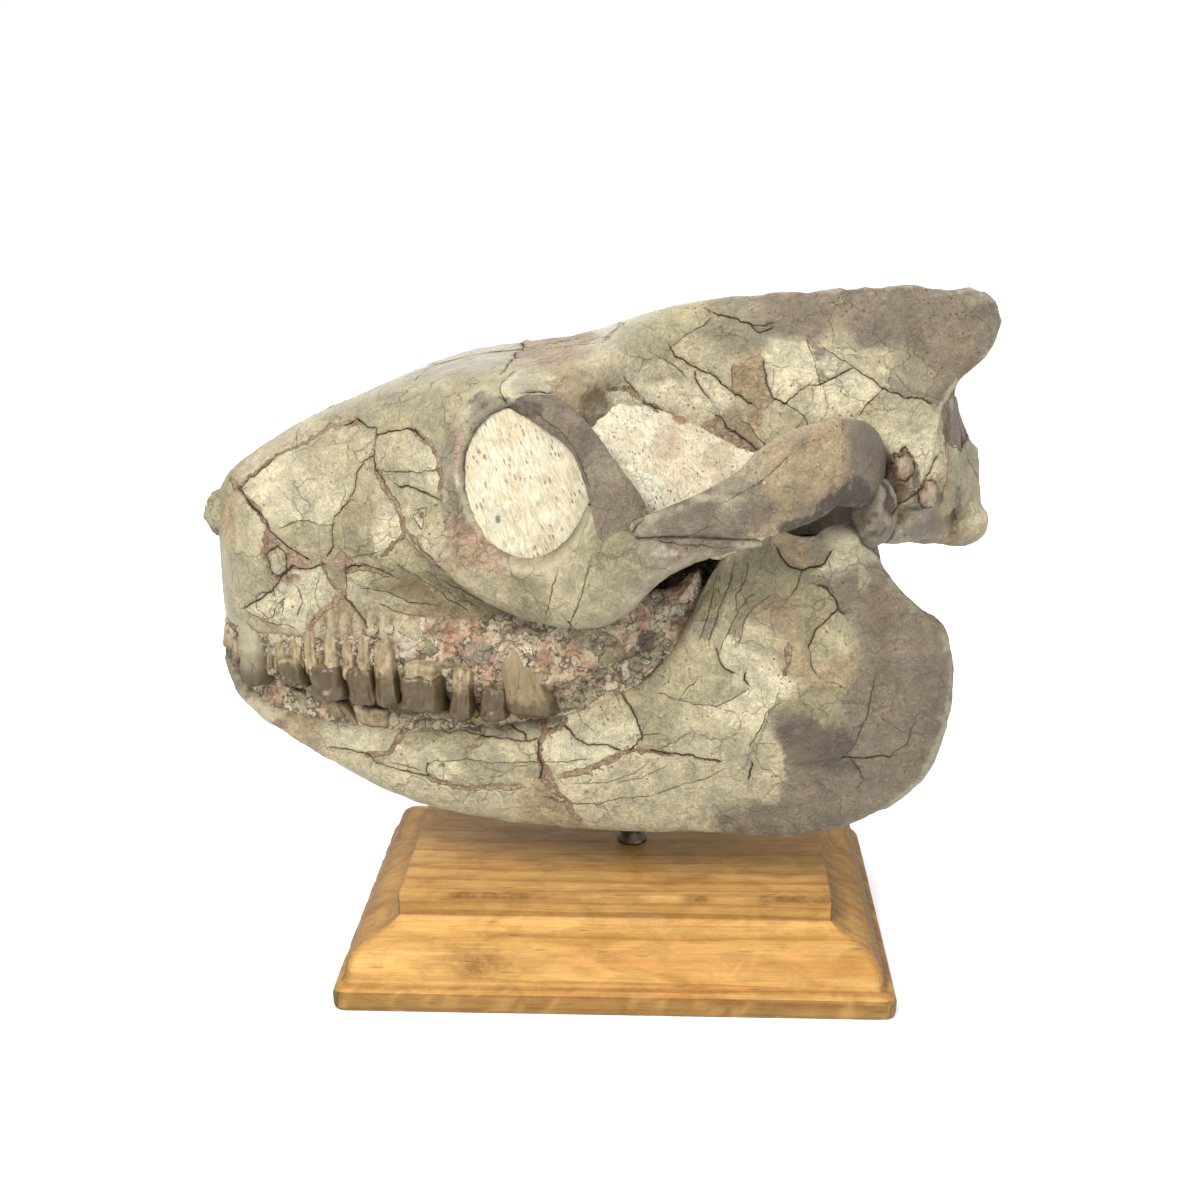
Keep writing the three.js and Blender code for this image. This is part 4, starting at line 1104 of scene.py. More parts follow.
jawCracks = {
    ("left", "dark"): [
        [(2, 87.5), (4, 84.5), (6, 82.3), (7.3, 78.5), (7.9, 76.3), (6.6, 73.5), (4.6, 72)], [(10, 72),
        (15.2, 71.6), (20.3, 71.3), (24.2, 70.5), (28.2, 70)], [(-12.4, 77.5), (-9.3, 74.5), (-6, 73),
        (-1.4, 73.2), (2, 72)], [(27, 101), (27.5, 99.8), (28.2, 97), (29.3, 95), (31.6, 94.4)],
        [(34.2, 94.5), (34.5, 92.8), (35.1, 92)], [(36.5, 69.8), (36.2, 67), (35.8, 65.2)], [(52, 118.3),
        (54.3, 117.6), (56.2, 115.2), (57.2, 112.4), (58.8, 111.5)], [(57.2, 112.4), (54.5, 109.6),
        (51.4, 106.4), (50.2, 102.8)], [(59.8, 72.3), (64.2, 72), (68, 72.3), (72, 72.8)], [(41.8, 127.5),
        (42.8, 125), (45, 123.3), (48, 122), (50, 122.8), (53.7, 124), (55, 127)], [(-77.5, 67),
        (-71.8, 66.8), (-66.8, 66)], [(-66.8, 66), (-64.8, 63.8), (-60.6, 63), (-55.8, 62), (-50.2, 61.2)],
        [(-50.2, 62), (-50.2, 64.6)], [(-34.8, 73), (-28.8, 73.2), (-24.7, 72.6), (-22, 72.8), (-20, 73.8)],
        [(-28.9, 77), (-26.2, 75.6), (-24, 74.7), (-22.6, 73)], [(-19.8, 73), (-19.6, 69), (-18.6, 66),
        (-19.2, 63)]],
    ("left", "pink"): [
        [(4.6, 72), (0, 69.3), (-4, 67.3), (-8, 65), (-12.7, 63.5)], [(3, 72), (10, 72), (15.2, 71.6)],
        [(45, 102), (44.8, 98), (44.5, 95)], [(-66.8, 66), (-63.3, 66), (-61.2, 66.8), (-59.8, 68.2),
        (-57.8, 70.8), (-56.8, 72.5), (-54.3, 73.5)], [(-50.2, 61.2), (-45.3, 59.4), (-41.2, 58.4),
        (-37, 58.8), (-30.3, 59.5), (-24.8, 59.8)], [(-34.8, 73), (-36.2, 71.6), (-39, 69.6)], [(-20, 80),
        (-18, 77.3), (-17.3, 75.3), (-19.3, 72.6), (-19, 69), (-18, 66), (-18.7, 63.2), (-16.7, 60.4),
        (-12.7, 57.5), (-11.3, 54), (-9.5, 50.5)], [(-17.3, 66), (-16.9, 63), (-15, 60.6)], [(-17.3, 75.3),
        (-14, 77.3), (-12.3, 78.7)], [(-12.8, 64), (-8.8, 65), (-4, 67)]],
    ("left", "faint"): [
        [(7.9, 76.6), (12.5, 77)], [(13.8, 73.5), (17, 75.6), (20.2, 78)], [(-9.5, 62), (-3.5, 62.2),
        (1.8, 63.7), (5.8, 65.6), (9.2, 68.5)], [(2.5, 62.8), (8, 64.3), (13.8, 68)], [(-9.7, 55.8),
        (-4.2, 55.8), (-0.1, 57.3), (4.5, 58.6), (11.2, 59.4), (14.5, 61), (20.4, 63.4), (25.8, 65.5),
        (29, 67.5)], [(-16, 57), (-9.5, 55.6)], [(27.8, 100.6), (30.7, 106.5), (32.2, 110.5), (34.5, 114.3),
        (36.5, 116)], [(25, 102), (26.3, 107), (28.4, 113), (29.8, 117), (31, 123)], [(32.8, 103),
        (34, 108), (36, 112), (39.7, 115)], [(34.4, 124), (34.4, 120), (31.8, 115), (32.2, 111)],
        [(22.6, 103), (24.4, 108), (26, 114), (26.6, 119)], [(17.6, 86.8), (19, 89), (22, 92.5)],
        [(12.5, 88), (17.7, 86.5), (23, 85.8), (27.4, 85.6), (31.2, 87.5), (35, 90.3)], [(42.6, 89.4),
        (42, 86.5), (40, 84), (38.4, 79.5), (36, 75)], [(50.2, 102.8), (51, 97.7), (52.4, 95)],
        [(56.5, 93.3), (59.6, 91.3)], [(59.8, 72.3), (61.8, 74.3), (63, 77), (64.3, 81), (65.6, 84),
        (66, 88), (67, 94)], [(62, 72), (64.3, 68.3), (65.6, 65.5), (63.7, 63.3)], [(72, 72.8), (76, 76),
        (77.5, 82)], [(48, 122), (47, 118), (44.6, 115)], [(-60.7, 64.3), (-56.5, 63.8), (-52.3, 62.8)],
        [(-50.2, 64.6), (-47.4, 65.8), (-42.5, 66.3), (-38.3, 67), (-34.2, 66.8), (-30, 66.8), (-24.7, 67),
        (-19.4, 67.5), (-14.7, 67.8), (-10, 68.6), (-6.7, 69)], [(-49.3, 73.4), (-45.1, 72.9), (-41, 73.7),
        (-38.3, 73.4), (-34.8, 73)], [(-38, 76), (-36, 75), (-34.8, 73)], [(-18, 57.3), (-13.3, 56)]],
    ("under", "faint"): [[(-106, 2), (-92, -1), (-80, 1)]],
    ("under", "dark"): [[(-96, -14), (-93, -6), (-94, 2), (-90, 9)]],
    ("back", "faint"): [[(-38, 110), (-37.5, 100), (-38.4, 88)]],
}
jawSeeds = [
    (-106, 82, "umber"), (-97, 76, "clay"), (-86, 70, "tan"), (-73, 70.5, "cream"), (-65, 71.6, "cream"),
    (-60.5, 70.4, "bone"), (-71, 64, "bone"), (-61, 60, "bone"), (-54, 68, "olive"), (-45, 70, "olive"),
    (-44, 65, "cream"), (-40, 62.4, "olive"), (-28, 63, "olive"), (-32, 70, "bone"), (-24.6, 69.8, "bone"),
    (-37, 75, "ash"), (-25, 76.6, "olive"), (-46, 54, "bone"), (-30, 54, "bone"), (-20, 54, "tan"),
    (-18, 65, "pink"), (-16.5, 59.4, "pink"), (-12.6, 73, "cream"), (-8, 79, "bone"), (-5, 70.6, "cream"),
    (-4, 76.6, "cream"), (3, 77, "cream"), (1, 83, "olive"), (12, 83, "olive"), (19.5, 80, "bone"),
    (12, 67, "bone"), (0, 60, "bone"), (6, 52, "bone"), (21, 57, "bone"), (26, 77, "bone"),
    (30, 84, "cream"), (25, 92, "olive"), (20, 88, "olive"), (34, 97.5, "cream"), (38, 91, "cream"),
    (38, 104, "bone"), (44.5, 99, "tan"), (43, 111, "tan"), (33, 109, "moss"), (25, 106, "ash"),
    (28, 120, "moss"), (40, 120, "moss"), (52, 112, "moss"), (54, 103, "olive"), (53, 86, "moss"),
    (57, 95, "tan"), (60, 88, "moss"), (48, 77, "filler"), (43, 73, "bone"), (39, 66, "bone"),
    (33, 63, "bone"), (36, 54, "filler"), (50, 54, "filler"), (60, 62, "filler"), (66, 76, "filler"),
    (57, 75, "slate"), (70, 90, "filler"), (69, 106, "filler"), (63, 116, "filler"), (80, 88, "filler"),
    (47, 125, "tan"), (52, 127, "ash"), (57, 127.6, "cream"),
]


def jawHalf(bm, side):
    run = through(jawStations)
    across, rise = oval(jaw["around"], jaw["squareness"])
    rings = []
    front, rear = jawStations[0][0], jawStations[-1][0]
    for share in np.linspace(0, 1, jaw["rows"]):
        x = front + (rear - front) * (share - 0.06 * math.sin(math.tau * share))
        low, high, middle, thickness = run(x)
        if side > 0 and x > rightRear["from"]:
            x = rightRear["from"] + (x - rightRear["from"]) * rightRear["share"]
        y = np.maximum(middle + across * thickness, -0.3)
        z = (low + high) / 2 + rise * (high - low) / 2
        rings.append(np.column_stack([np.full(len(y), x), y * side, z]))
    sleeve(bm, rings)


def makeJaw():
    bm = bmesh.new()
    for side in sides.values():
        jawHalf(bm, side)
        knob(bm, (57.5, 37, 130), (5.4, 5.2, 2.7), side)
        limb(bm, jawFlange, side, (1, 0, 0), around=16, rows=24)
    obj = newObject("lower_jaw_bone", bm)
    remesh(obj, jaw["cell"])
    mesh = obj.data
    relax(mesh, jaw["settle"])
    places, out = points(mesh), normalsOf(mesh)
    lift = sum(dent(places, out, side, *settings) for side in sides.values() for settings in jawDents)
    x, _, z = places.T
    striped = band(x, 18, 24, 34, 40) * band(z, 98, 106, 124, 130)
    lift += 0.14 * striped * np.sin((x - z * 0.28) * math.tau / 3.1 + 2 * lumps(places, 12, 2))
    setPoints(mesh, places + out * lift[:, None])
    carve(obj, jawCracks, bothSides(jawSeeds), jawRidges, jawPatches)
    finishPiece(obj, boneSkin, "bone", "jaw_left", "jaw_right")


# Rock: the discs in the eye sockets, the slabs in the temples, the lump in the nose and the core of the jaw.

# Chips are given as their size and a shift of their pattern.
rocks = {
    "chalk": {"light": (247, 240, 216), "dark": (230, 217, 182), "pit": (164, 142, 106),
              "rosy": (240, 222, 190), "streak": 0.3, "clefts": 0.0, "chips": (), "lift": 1.17},
    "temple": {"light": (255, 250, 226), "dark": (236, 222, 190), "pit": (120, 98, 68),
               "rosy": (244, 228, 198), "streak": 0.6, "clefts": 0.3, "chips": (), "lift": 1.24},
    "pink": {"light": (244, 226, 196), "dark": (202, 170, 138), "pit": (92, 64, 44),
             "rosy": (200, 146, 116), "streak": 1.0, "clefts": 1.0, "chips": ((5.4, 0), (2.9, 40)),
             "lift": 1.1},
}


def copyOf(name, nodeName):
    bm = bmesh.new()
    bm.from_mesh(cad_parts[nodeName].data)
    bmesh.ops.remove_doubles(bm, verts=bm.verts, dist=1e-6)
    bmesh.ops.scale(bm, verts=bm.verts, vec=(unit, unit, unit))
    return newObject(name, bm)


def rockFinish(name, rock):
    material, tree, shader, where = newMaterial(name)
    light, dark, pitAndShadeColor, rosy = (paint(rock[key], rock["lift"]) for key in ("light", "dark", "pit", "rosy"))
    slanted = stretched(where, (1, 1, 1), turn=(0, math.radians(20), 0))
    slanted = stretched(slanted, (1.6, 1.2, rock["streak"]))
    broad = cloud(where, 6, 6, 0.7, 0.8)
    fine = cloud(slanted, 1.1, 5, 0.75)
    color = blend(ramp(broad, 0.36, 0.62), dark, light)
    color = blend(ramp(cloud(where, 13, 4), 0.5, 0.66, 0, 0.75), color, rosy)
    grain = plus(fine, times(broad, 1.2))
    raised = 0.0
    for size, shift in rock["chips"]:
        space = warped(stretched(where, (1, 1, 1), (shift, shift, 0)), size * 0.8, size * 1.2)
        cell = node(tree, "ShaderNodeTexVoronoi", {"Vector": space, "Scale": 1 / size}).outputs["Color"]
        lot = partsOf(cell)
        border = cells(space, size, "DISTANCE_TO_EDGE")
        picked = times(ramp(lot[0], 0.6, 0.64), 0.9)
        chip = times(picked, ramp(border, 0.05, 0.1))
        tone = blend(ramp(lot[1], 0.35, 0.75), paint(tones["cream"][0]), paint(tones["moss"][0]))
        color = blend(chip, color, tone)
        color = blend(times(picked, ramp(border, 0.03, 0.1, 0.8, 0)), color, pitAndShadeColor)
        raised = plus(chip, raised)
    if rock["chips"]:
        grain = plus(grain, times(raised, 0.8))
    color = shaded(color, fine, 0.3, 0.7, (0.7, 0.68, 0.63), (1.16, 1.15, 1.12))
    pit = times(ramp(cells(warped(slanted, 2, 1), 1.2), 0.12, 0.28, 1, 0),
                ramp(cloud(where, 4, 3), 0.44, 0.62))
    cleft = times(ramp(cells(warped(where, 3, 4.5), 4.5, "DISTANCE_TO_EDGE"), 0.01, 0.05, 1, 0),
                  ramp(cloud(where, 6, 2), 0.48, 0.6, 0, rock["clefts"]))
    color = blend(times(pit, 0.8), color, pitAndShadeColor)
    color = blend(times(cleft, 0.5), color, pitAndShadeColor)
    color = blend(attribute(tree, "patch"), color, attribute(tree, "tone", "Color"))
    hollow = attribute(tree, "hollow")
    # Painted shade in the hollows, in the colour of the pits, and painted highlight on the bumps.
    color = blend(ramp(hollow, 0.05, 0.7, 0, 0.75), color, pitAndShadeColor)
    color = blend(ramp(hollow, -0.7, -0.1, 0.4, 0), color, light)
    plug(shader, {"Base Color": color, "Roughness": 0.8, "Specular IOR Level": 0.35,
                  "Normal": relief(minus(grain, plus(pit, cleft)), 1.0, 0.6)})
    return material


def roughRock(obj, cell, coarseHeight, fineHeight, settle, shift=0.0):
    remesh(obj, cell)
    mesh = obj.data
    relax(mesh, settle)
    places, out = points(mesh), normalsOf(mesh)
    lift = coarseHeight * lumps(places, 6, 3, shift) + fineHeight * lumps(places, 1.6, 3, shift + 9)
    setPoints(mesh, places + out * lift[:, None])
    storeHollow(mesh, edgesOf(mesh), 1.6, 0.3)


def storePatches(mesh, patches):
    places, out = points(mesh), normalsOf(mesh)
    colors, _ = patched(places, out, patches, np.zeros((len(places), 3)), np.zeros(len(places)))
    share = patched(places, out, [(*patch[:4], "cream", patch[5]) for patch in patches],
                    np.zeros((len(places), 3)), np.zeros(len(places)))[0][:, 0] / paint(tones["cream"][0])[0]
    store(mesh, "tone", colors / np.maximum(share, 0.01)[:, None])
    store(mesh, "patch", np.clip(share, 0, 1))


# The disc fills its socket, with its face flush with the rim. Its outline is x and height, and its levels are
# the distance in front of the face and the share of the outline.
disc = {"around": 80, "middle": (-20, 143.9), "levels": [(-10, 1.0), (-0.7, 1.09), (-0.21, 1.08), (0, 1.04)]}
discOutline = [
    (-34.4, 150), (-31.6, 156.6), (-26.5, 160.4), (-17, 160.2), (-9.8, 156.4), (-5.7, 149), (-5.8, 141.5),
    (-7.6, 135), (-12.4, 129), (-19.6, 126.3), (-28.4, 129.8), (-34, 138.5),
]
# The slab in a temple is a limb with these stations.
temple = [
    (-12, 27, 157, 10, 5), (-4, 25.2, 155, 15.6, 7), (7, 22.8, 147.6, 18.4, 9.2),
    (18, 23.2, 140.4, 18, 10.2), (30, 26.4, 136, 16, 9.6), (38, 29.6, 135, 12.6, 8),
    (42.6, 31, 134.2, 8.4, 5.6), (45.4, 31.8, 133.6, 3.4, 2.4),
]
templePatches = [
    (43, 134, 4.6, 12, "clay", 0.7), (10, 162, 9, 1.8, "pink", 1.0), (23, 157, 9, 2, "rust", 0.85),
    (33, 152, 6, 2, "clay", 0.8), (27, 148, 4, 3, "tan", 0.5), (29, 143.5, 3.4, 3, "clay", 0.5),
    (14, 152, 5, 4, "pink", 0.45), (2, 151, 4, 6, "tan", 0.25),
]
discPatches = [(-28, 135, 2.6, 3.4, "chalk", 0.9), (-27.6, 135.4, 0.7, 0.9, "slate", 0.8)]


def skinned(bm, rings):
    rings = [[bm.verts.new(place) for place in ring] for ring in rings]
    for lower, upper in zip(rings, rings[1:]):
        for index in range(len(lower)):
            after = (index + 1) % len(lower)
            bm.faces.new((lower[index], lower[after], upper[after], upper[index]))
    bm.faces.new(rings[-1])
    bm.faces.new(list(reversed(rings[0])))


def makeDisc(name, side, finish):
    middleX, middleZ = disc["middle"]
    outline = closedLoop([(x, 0, z) for x, z in discOutline], disc["around"])
    rings = []
    for depth, share in disc["levels"]:
        ring = []
        for x, _, z in outline:
            x, z = middleX + (x - middleX) * share, middleZ + (z - middleZ) * share
            ring.append((x, (socketFace(x, z) + depth) * side, z))
        rings.append(ring)
    bm = bmesh.new()
    skinned(bm, rings)
    bmesh.ops.recalc_face_normals(bm, faces=bm.faces)
    obj = newObject(f"orbit_rock_{name}_stone", bm)
    roughRock(obj, 0.6, 0.22, 0.22, 1)
    storePatches(obj.data, discPatches)
    finishPiece(obj, finish, "pale_rock", f"orbit_rock_{name}")


def makeRocks(pink):
    chalk = rockFinish("chalkyRock", rocks["chalk"])
    templeSkin = rockFinish("templeRock", rocks["temple"])
    for name, side in sides.items():
        makeDisc(name, side, chalk)
        bm = bmesh.new()
        limb(bm, temple, side, (0, side, -1), around=40, rows=40)
        slab = newObject(f"temple_rock_{name}_stone", bm)
        roughRock(slab, 0.8, 0.45, 0.25, 10, 20)
        storePatches(slab.data, templePatches)
        finishPiece(slab, templeSkin, "pale_rock", f"temple_rock_{name}")
    nares = copyOf("nares_rock_stone", "nares_rock")
    roughRock(nares, 0.6, 0.7, 0.4, 3, 30)
    storePatches(nares.data, [(-112, 126, 14, 18, "olive", 0.85), (-112, 120, 6, 4, "umber", 0.6)])
    finishPiece(nares, pink, "pink_rock", "nares_rock")
    core = copyOf("jaw_rock_stone", "jaw_rock")
    roughRock(core, 1.0, 0.9, 0.5, 3, 50)
    finishPiece(core, pink, "pink_rock", "jaw_rock")


# Teeth. Each: x, half width of its row, half length, half thickness, height of its tip, height of its root,
# lobes, lean, taper, shade.

upperTeeth = [
    (-109.4, 4.0, 2.5, 2.5, 87.5, 100, 1, 0, 0.8, 0.5), (-107.2, 8.6, 2.5, 2.5, 87, 100, 1, 0, 0.8, 0.4),
    (-104.3, 13.0, 2.6, 2.6, 86.5, 100, 1, 0, 0.8, 0.5),
    (-97.0, 20.2, 4.3, 5.0, 83, 104.4, 1, -3.8, 0.86, 1.5),
    (-92.2, 21.4, 1.2, 3.4, 88, 99, 1, -1.4, 0.7, 0.98),
    (-85.6, 24.4, 4.3, 4.1, 84.8, 92.6, 2, -1.6, 0.95, 0.24),
    (-89.0, 23.4, 2.0, 3.6, 88.4, 97.6, 1, -1.6, 0.7, 0.62),
    (-84.6, 24.0, 2.3, 3.7, 88.4, 98.6, 1, -1.2, 0.7, 0.7),
    (-75.2, 27.2, 5.2, 4.8, 81.8, 92, 1, -2.0, 0.98, 0.14),
    (-79.6, 26.0, 2.3, 4.2, 87.6, 102, 1, -2.0, 0.72, 0.6),
    (-74.4, 26.8, 2.6, 4.4, 87.6, 102.6, 1, -1.2, 0.7, 0.7),
    (-77.0, 26.0, 1.0, 3.8, 87, 99, 1, -1.4, 0.7, 0.97),
    (-65.6, 29.4, 4.0, 5.1, 81.6, 92, 1, -1.6, 0.98, 0.16),
    (-69.2, 28.2, 1.9, 4.4, 87.4, 101.8, 1, -1.8, 0.72, 0.62),
    (-65.2, 28.8, 2.1, 4.5, 87.4, 100.8, 1, -1.0, 0.75, 0.72),
    (-58.8, 30.6, 3.6, 5.2, 81.6, 99.6, 1, -1.8, 0.72, 0.3),
    (-49.6, 32.3, 6.2, 5.6, 81, 91.6, 2, -0.4, 0.98, 0.04),
    (-49.6, 31.8, 5.7, 5.4, 89.6, 94.6, 2, 0, 0.9, 0.74),
    (-39.6, 33.4, 3.4, 5.4, 78.8, 94.4, 1, 0.8, 0.72, 0.62),
    (-30.8, 34.0, 4.2, 5.2, 79.4, 89, 1, 0.4, 0.85, 0.54),
    (-20.4, 34.8, 7.2, 5.6, 80.8, 100.4, 1, -5.6, 0.42, 0.95), (-7.2, 35, 2.8, 4.4, 92, 98, 1, 0, 0.9, 0.9),
]
lowerTeeth = [
    (-107.2, 3.4, 2.1, 2.1, 85, 76, 1, 0, 0.8, 0.5), (-104.2, 7.6, 2.2, 2.2, 84.5, 76, 1, 0, 0.8, 0.4),
    (-100.2, 11.6, 2.4, 2.4, 84, 75, 1, 0, 0.8, 0.6), (-93.2, 16.4, 3.0, 2.9, 86, 73, 1, -1, 0.8, 0.7),
    (-86.2, 19.6, 2.2, 2.4, 82.6, 73, 1, 1, 0.8, 0.8), (-77.4, 23.8, 3.0, 3.0, 83.4, 74, 1, 1.6, 0.8, 0.55),
    (-73.4, 25.0, 1.1, 2.6, 80.6, 71, 1, 3.4, 0.5, 1.0),
    (-65.6, 26.0, 5.0, 3.0, 79.6, 72.4, 1, 0, 0.9, 0.72),
    (-56.4, 28.6, 3.9, 3.2, 84.4, 76.4, 1, 1.4, 0.6, 0.0),
    (-46.0, 29.0, 4.4, 3.0, 81.4, 76, 2, 0, 0.9, 0.3), (-34.0, 30.0, 4.6, 3.0, 79.8, 75, 2, 0, 0.9, 0.8),
    (-22.0, 29.8, 4.6, 3.0, 81.0, 76, 2, 0, 0.9, 0.7), (-8.0, 29.2, 3.6, 3.0, 88.6, 80, 1, 0, 0.9, 0.8),
]
enamel = {"light": (204, 186, 148), "dark": (94, 76, 48), "olive": (146, 127, 90), "fang": (188, 178, 150),
          "base": (0.17, 0.13, 0.085), "roughness": 0.4, "specular": 0.3}


def toothShape(bm, row, settings, side):
    x, out, halfLong, halfThick, tip, root, lobes, lean, taper, shade = settings
    ahead, behind = np.interp([x - 2, x + 2], *zip(*sorted((tooth[0], tooth[1]) for tooth in row)))
    turn = math.atan2(behind - ahead, 4)
    made = bmesh.ops.create_cube(bm, size=2)["verts"]
    edges = list({edge for vert in made for edge in vert.link_edges})
    bmesh.ops.subdivide_edges(bm, edges=edges, cuts=13, use_grid_fill=True)
    rise = bm.verts.layers.float["rise"]
    tint = bm.verts.layers.float["shade"]
    for vert in [vert for vert in bm.verts if vert[tint] == 0]:
        u, v, w = vert.co
        radius, angle = max(abs(u), abs(v)), math.atan2(v, u)
        u = radius * math.copysign(abs(math.cos(angle)) ** 0.8, math.cos(angle))
        v = radius * math.copysign(abs(math.sin(angle)) ** 0.8, math.sin(angle))
        height = (w + 1) / 2
        belly = (1 + (taper - 1) * height ** 1.3) * (1 - 0.07 * math.exp(-(((height - 0.42) / 0.12) ** 2)))
        closing = math.sqrt(1 - 0.7 * max(0, (abs(w) - 0.72) / 0.28) ** 2)
        ribs = 1 + 0.06 * math.cos(u * math.pi * (lobes + 1)) + 0.03 * math.cos(u * 17 + x)
        valley = 1 - 0.3 * math.exp(-((u / 0.2) ** 2)) * (lobes > 1)
        along = u * halfLong * belly * closing + lean * height
        across = v * halfThick * belly * closing * ribs * valley
        cusp = 0.9 * math.cos(u * math.pi * lobes) * (1 - height) ** 3 * (lobes > 1)
        cusp += 0.9 * noise.noise(Vector((x + u * 1.3, v, side))) * (1 - height) ** 2
        z = tip + (root - tip) * height - cusp * math.copysign(1, root - tip)
        wobble = noise.noise(Vector((x + u * 2, v * 2 + side, w * 2.4))) * 0.6
        sunk = max(tip + (root - tip) * height - 82, 0) / 21 if root > tip else height
        place = Matrix.Rotation(turn, 3, "Z") @ Vector((along, across + wobble - 3.6 * sunk ** 1.5, 0))
        vert.co = (x + place.x, (out + place.y) * side, z + wobble * 0.6)
        vert[rise] = min(max((z - 82) / 21 if root > tip else (84 - z) / 12, 0), 1)
        vert[tint] = shade + 0.01


def enamelFinish():
    material, tree, shader, where = newMaterial("toothEnamel")
    light, dark, olive, fang = (paint(enamel[key]) for key in ("light", "dark", "olive", "fang"))
    rise, shade = attribute(tree, "rise"), attribute(tree, "shade")
    uneven = cloud(where, 2.6, 4, 0.6)
    level = plus(rise, times(minus(uneven, 0.5), 0.5), times(minus(shade, 0.5), 0.42))
    crown = ramp(level, 0.28, 0.44, 1, 0)
    streaks = cloud(stretched(where, (1, 1, 0.22)), 1.5, 4, 0.6)
    root = blend(ramp(streaks, 0.3, 0.7), olive, light)
    root = blend(ramp(uneven, 0.48, 0.64, 0, 0.6), root, paint(bone["seamDull"]))
    root = blend(ramp(cloud(where, 1.2, 4, 0.7), 0.55, 0.7, 0, 0.8), root, paint(bone["seamLight"]))
    root = blend(ramp(shade, 0.86, 0.98, 0, 0.8), root, olive)
    root = blend(ramp(level, 0.62, 0.95, 0, 0.5), root, enamel["base"])
    color = blend(crown, root, blend(ramp(streaks, 0.35, 0.75, 0, 0.35), dark, olive))
    smooth = blend(ramp(cloud(where, 5, 3), 0.4, 0.7, 0, 0.6), fang, olive)
    smooth = blend(ramp(rise, 0.2, 0.55, 0.9, 0), smooth, dark)
    color = blend(ramp(shade, 1.2, 1.4), color, smooth)
    crazing = cells(warped(stretched(where, (1, 1, 0.3)), 3, 1.5), 2.6, "DISTANCE_TO_EDGE")
    line = times(ramp(crazing, 0.01, 0.04, 1, 0), ramp(uneven, 0.5, 0.62))
    color = blend(times(line, 0.6), color, tuple(c * 0.4 for c in dark))
    plug(shader, {"Base Color": color, "Specular IOR Level": enamel["specular"],
                  "Roughness": ramp(crown, 0, 1, enamel["roughness"] + 0.34, enamel["roughness"]),
                  "Normal": relief(minus(times(streaks, 0.5), line), 0.25, 0.3)})
    return material


def makeTeeth():
    finish = enamelFinish()
    for rowName, row in (("upper", upperTeeth), ("lower", lowerTeeth)):
        for name, side in sides.items():
            bm = bmesh.new()
            bm.verts.layers.float.new("rise")
            bm.verts.layers.float.new("shade")
            for settings in row:
                toothShape(bm, row, settings, side)
            bmesh.ops.recalc_face_normals(bm, faces=bm.faces)
            finishPiece(newObject(f"{rowName}_teeth_{name}", bm), finish, "bone")


# The rock that fills the mouth around the teeth. Stations of one side: x, lower edge, upper edge, half width
# at the lower edge, half width above it.

gum = {"cell": 0.7, "crumbs": 240, "crumbSize": (0.8, 2.4), "settle": 2}
gumPatches = [
    (-42.5, 104.5, 3.4, 2.6, "rust", 0.7), (-47.5, 102.5, 2.2, 2, "rust", 0.7),
    (-34.5, 98, 3.8, 3.8, "ash", 0.85), (-17, 96.5, 3, 3.6, "rust", 0.7), (9.3, 102, 2.8, 4, "slate", 0.85),
    (18.5, 103.8, 1.8, 4.6, "rust", 0.9), (3.6, 92.6, 1.2, 2.6, "chalk", 1.0),
    (-54, 97, 2.6, 3, "chalk", 0.6), (-27, 92, 2, 3, "clay", 0.7), (-6, 103, 4, 3, "moss", 0.6),
    (-92, 92, 2, 5, "cream", 0.6), (-94, 78, 3, 3, "rust", 0.5), (-73.4, 77.4, 1.6, 2, "rust", 1.0),
    (-56, 100, 2.4, 2, "cream", 0.6),
]
gumLumps = [
    ((-34.5, 33.4, 98), (4.2, 2.0, 4.2)), ((9.3, 32.2, 102), (3.2, 1.8, 4.4)),
    ((-17, 34, 96.5), (3, 1.8, 3.8)), ((-42.5, 32, 104.5), (3.4, 1.6, 2.6)), ((-6, 34, 103), (4, 1.6, 3)),
    ((2, 32.4, 98), (2.4, 1.6, 3.6)),
]
gumStations = [
    (-109, 82, 99, 6, 8), (-104, 78, 100, 12, 14.5), (-96, 75, 104, 17.5, 20.4), (-86, 72.5, 104, 20, 23.8),
    (-76, 71, 104, 22, 26.2), (-66, 70.5, 104, 24, 28.2), (-56, 70.5, 104.4, 26, 30),
    (-46, 71, 105, 27, 32), (-36, 71.5, 105.6, 28.5, 33.4), (-24, 73, 107, 30, 35),
    (-12, 77, 110, 31.4, 37), (0, 83.5, 112, 33, 38.4), (10, 92, 113, 34, 38), (17, 99, 114, 33.4, 36.4),
    (23, 107, 118, 31, 33),
]


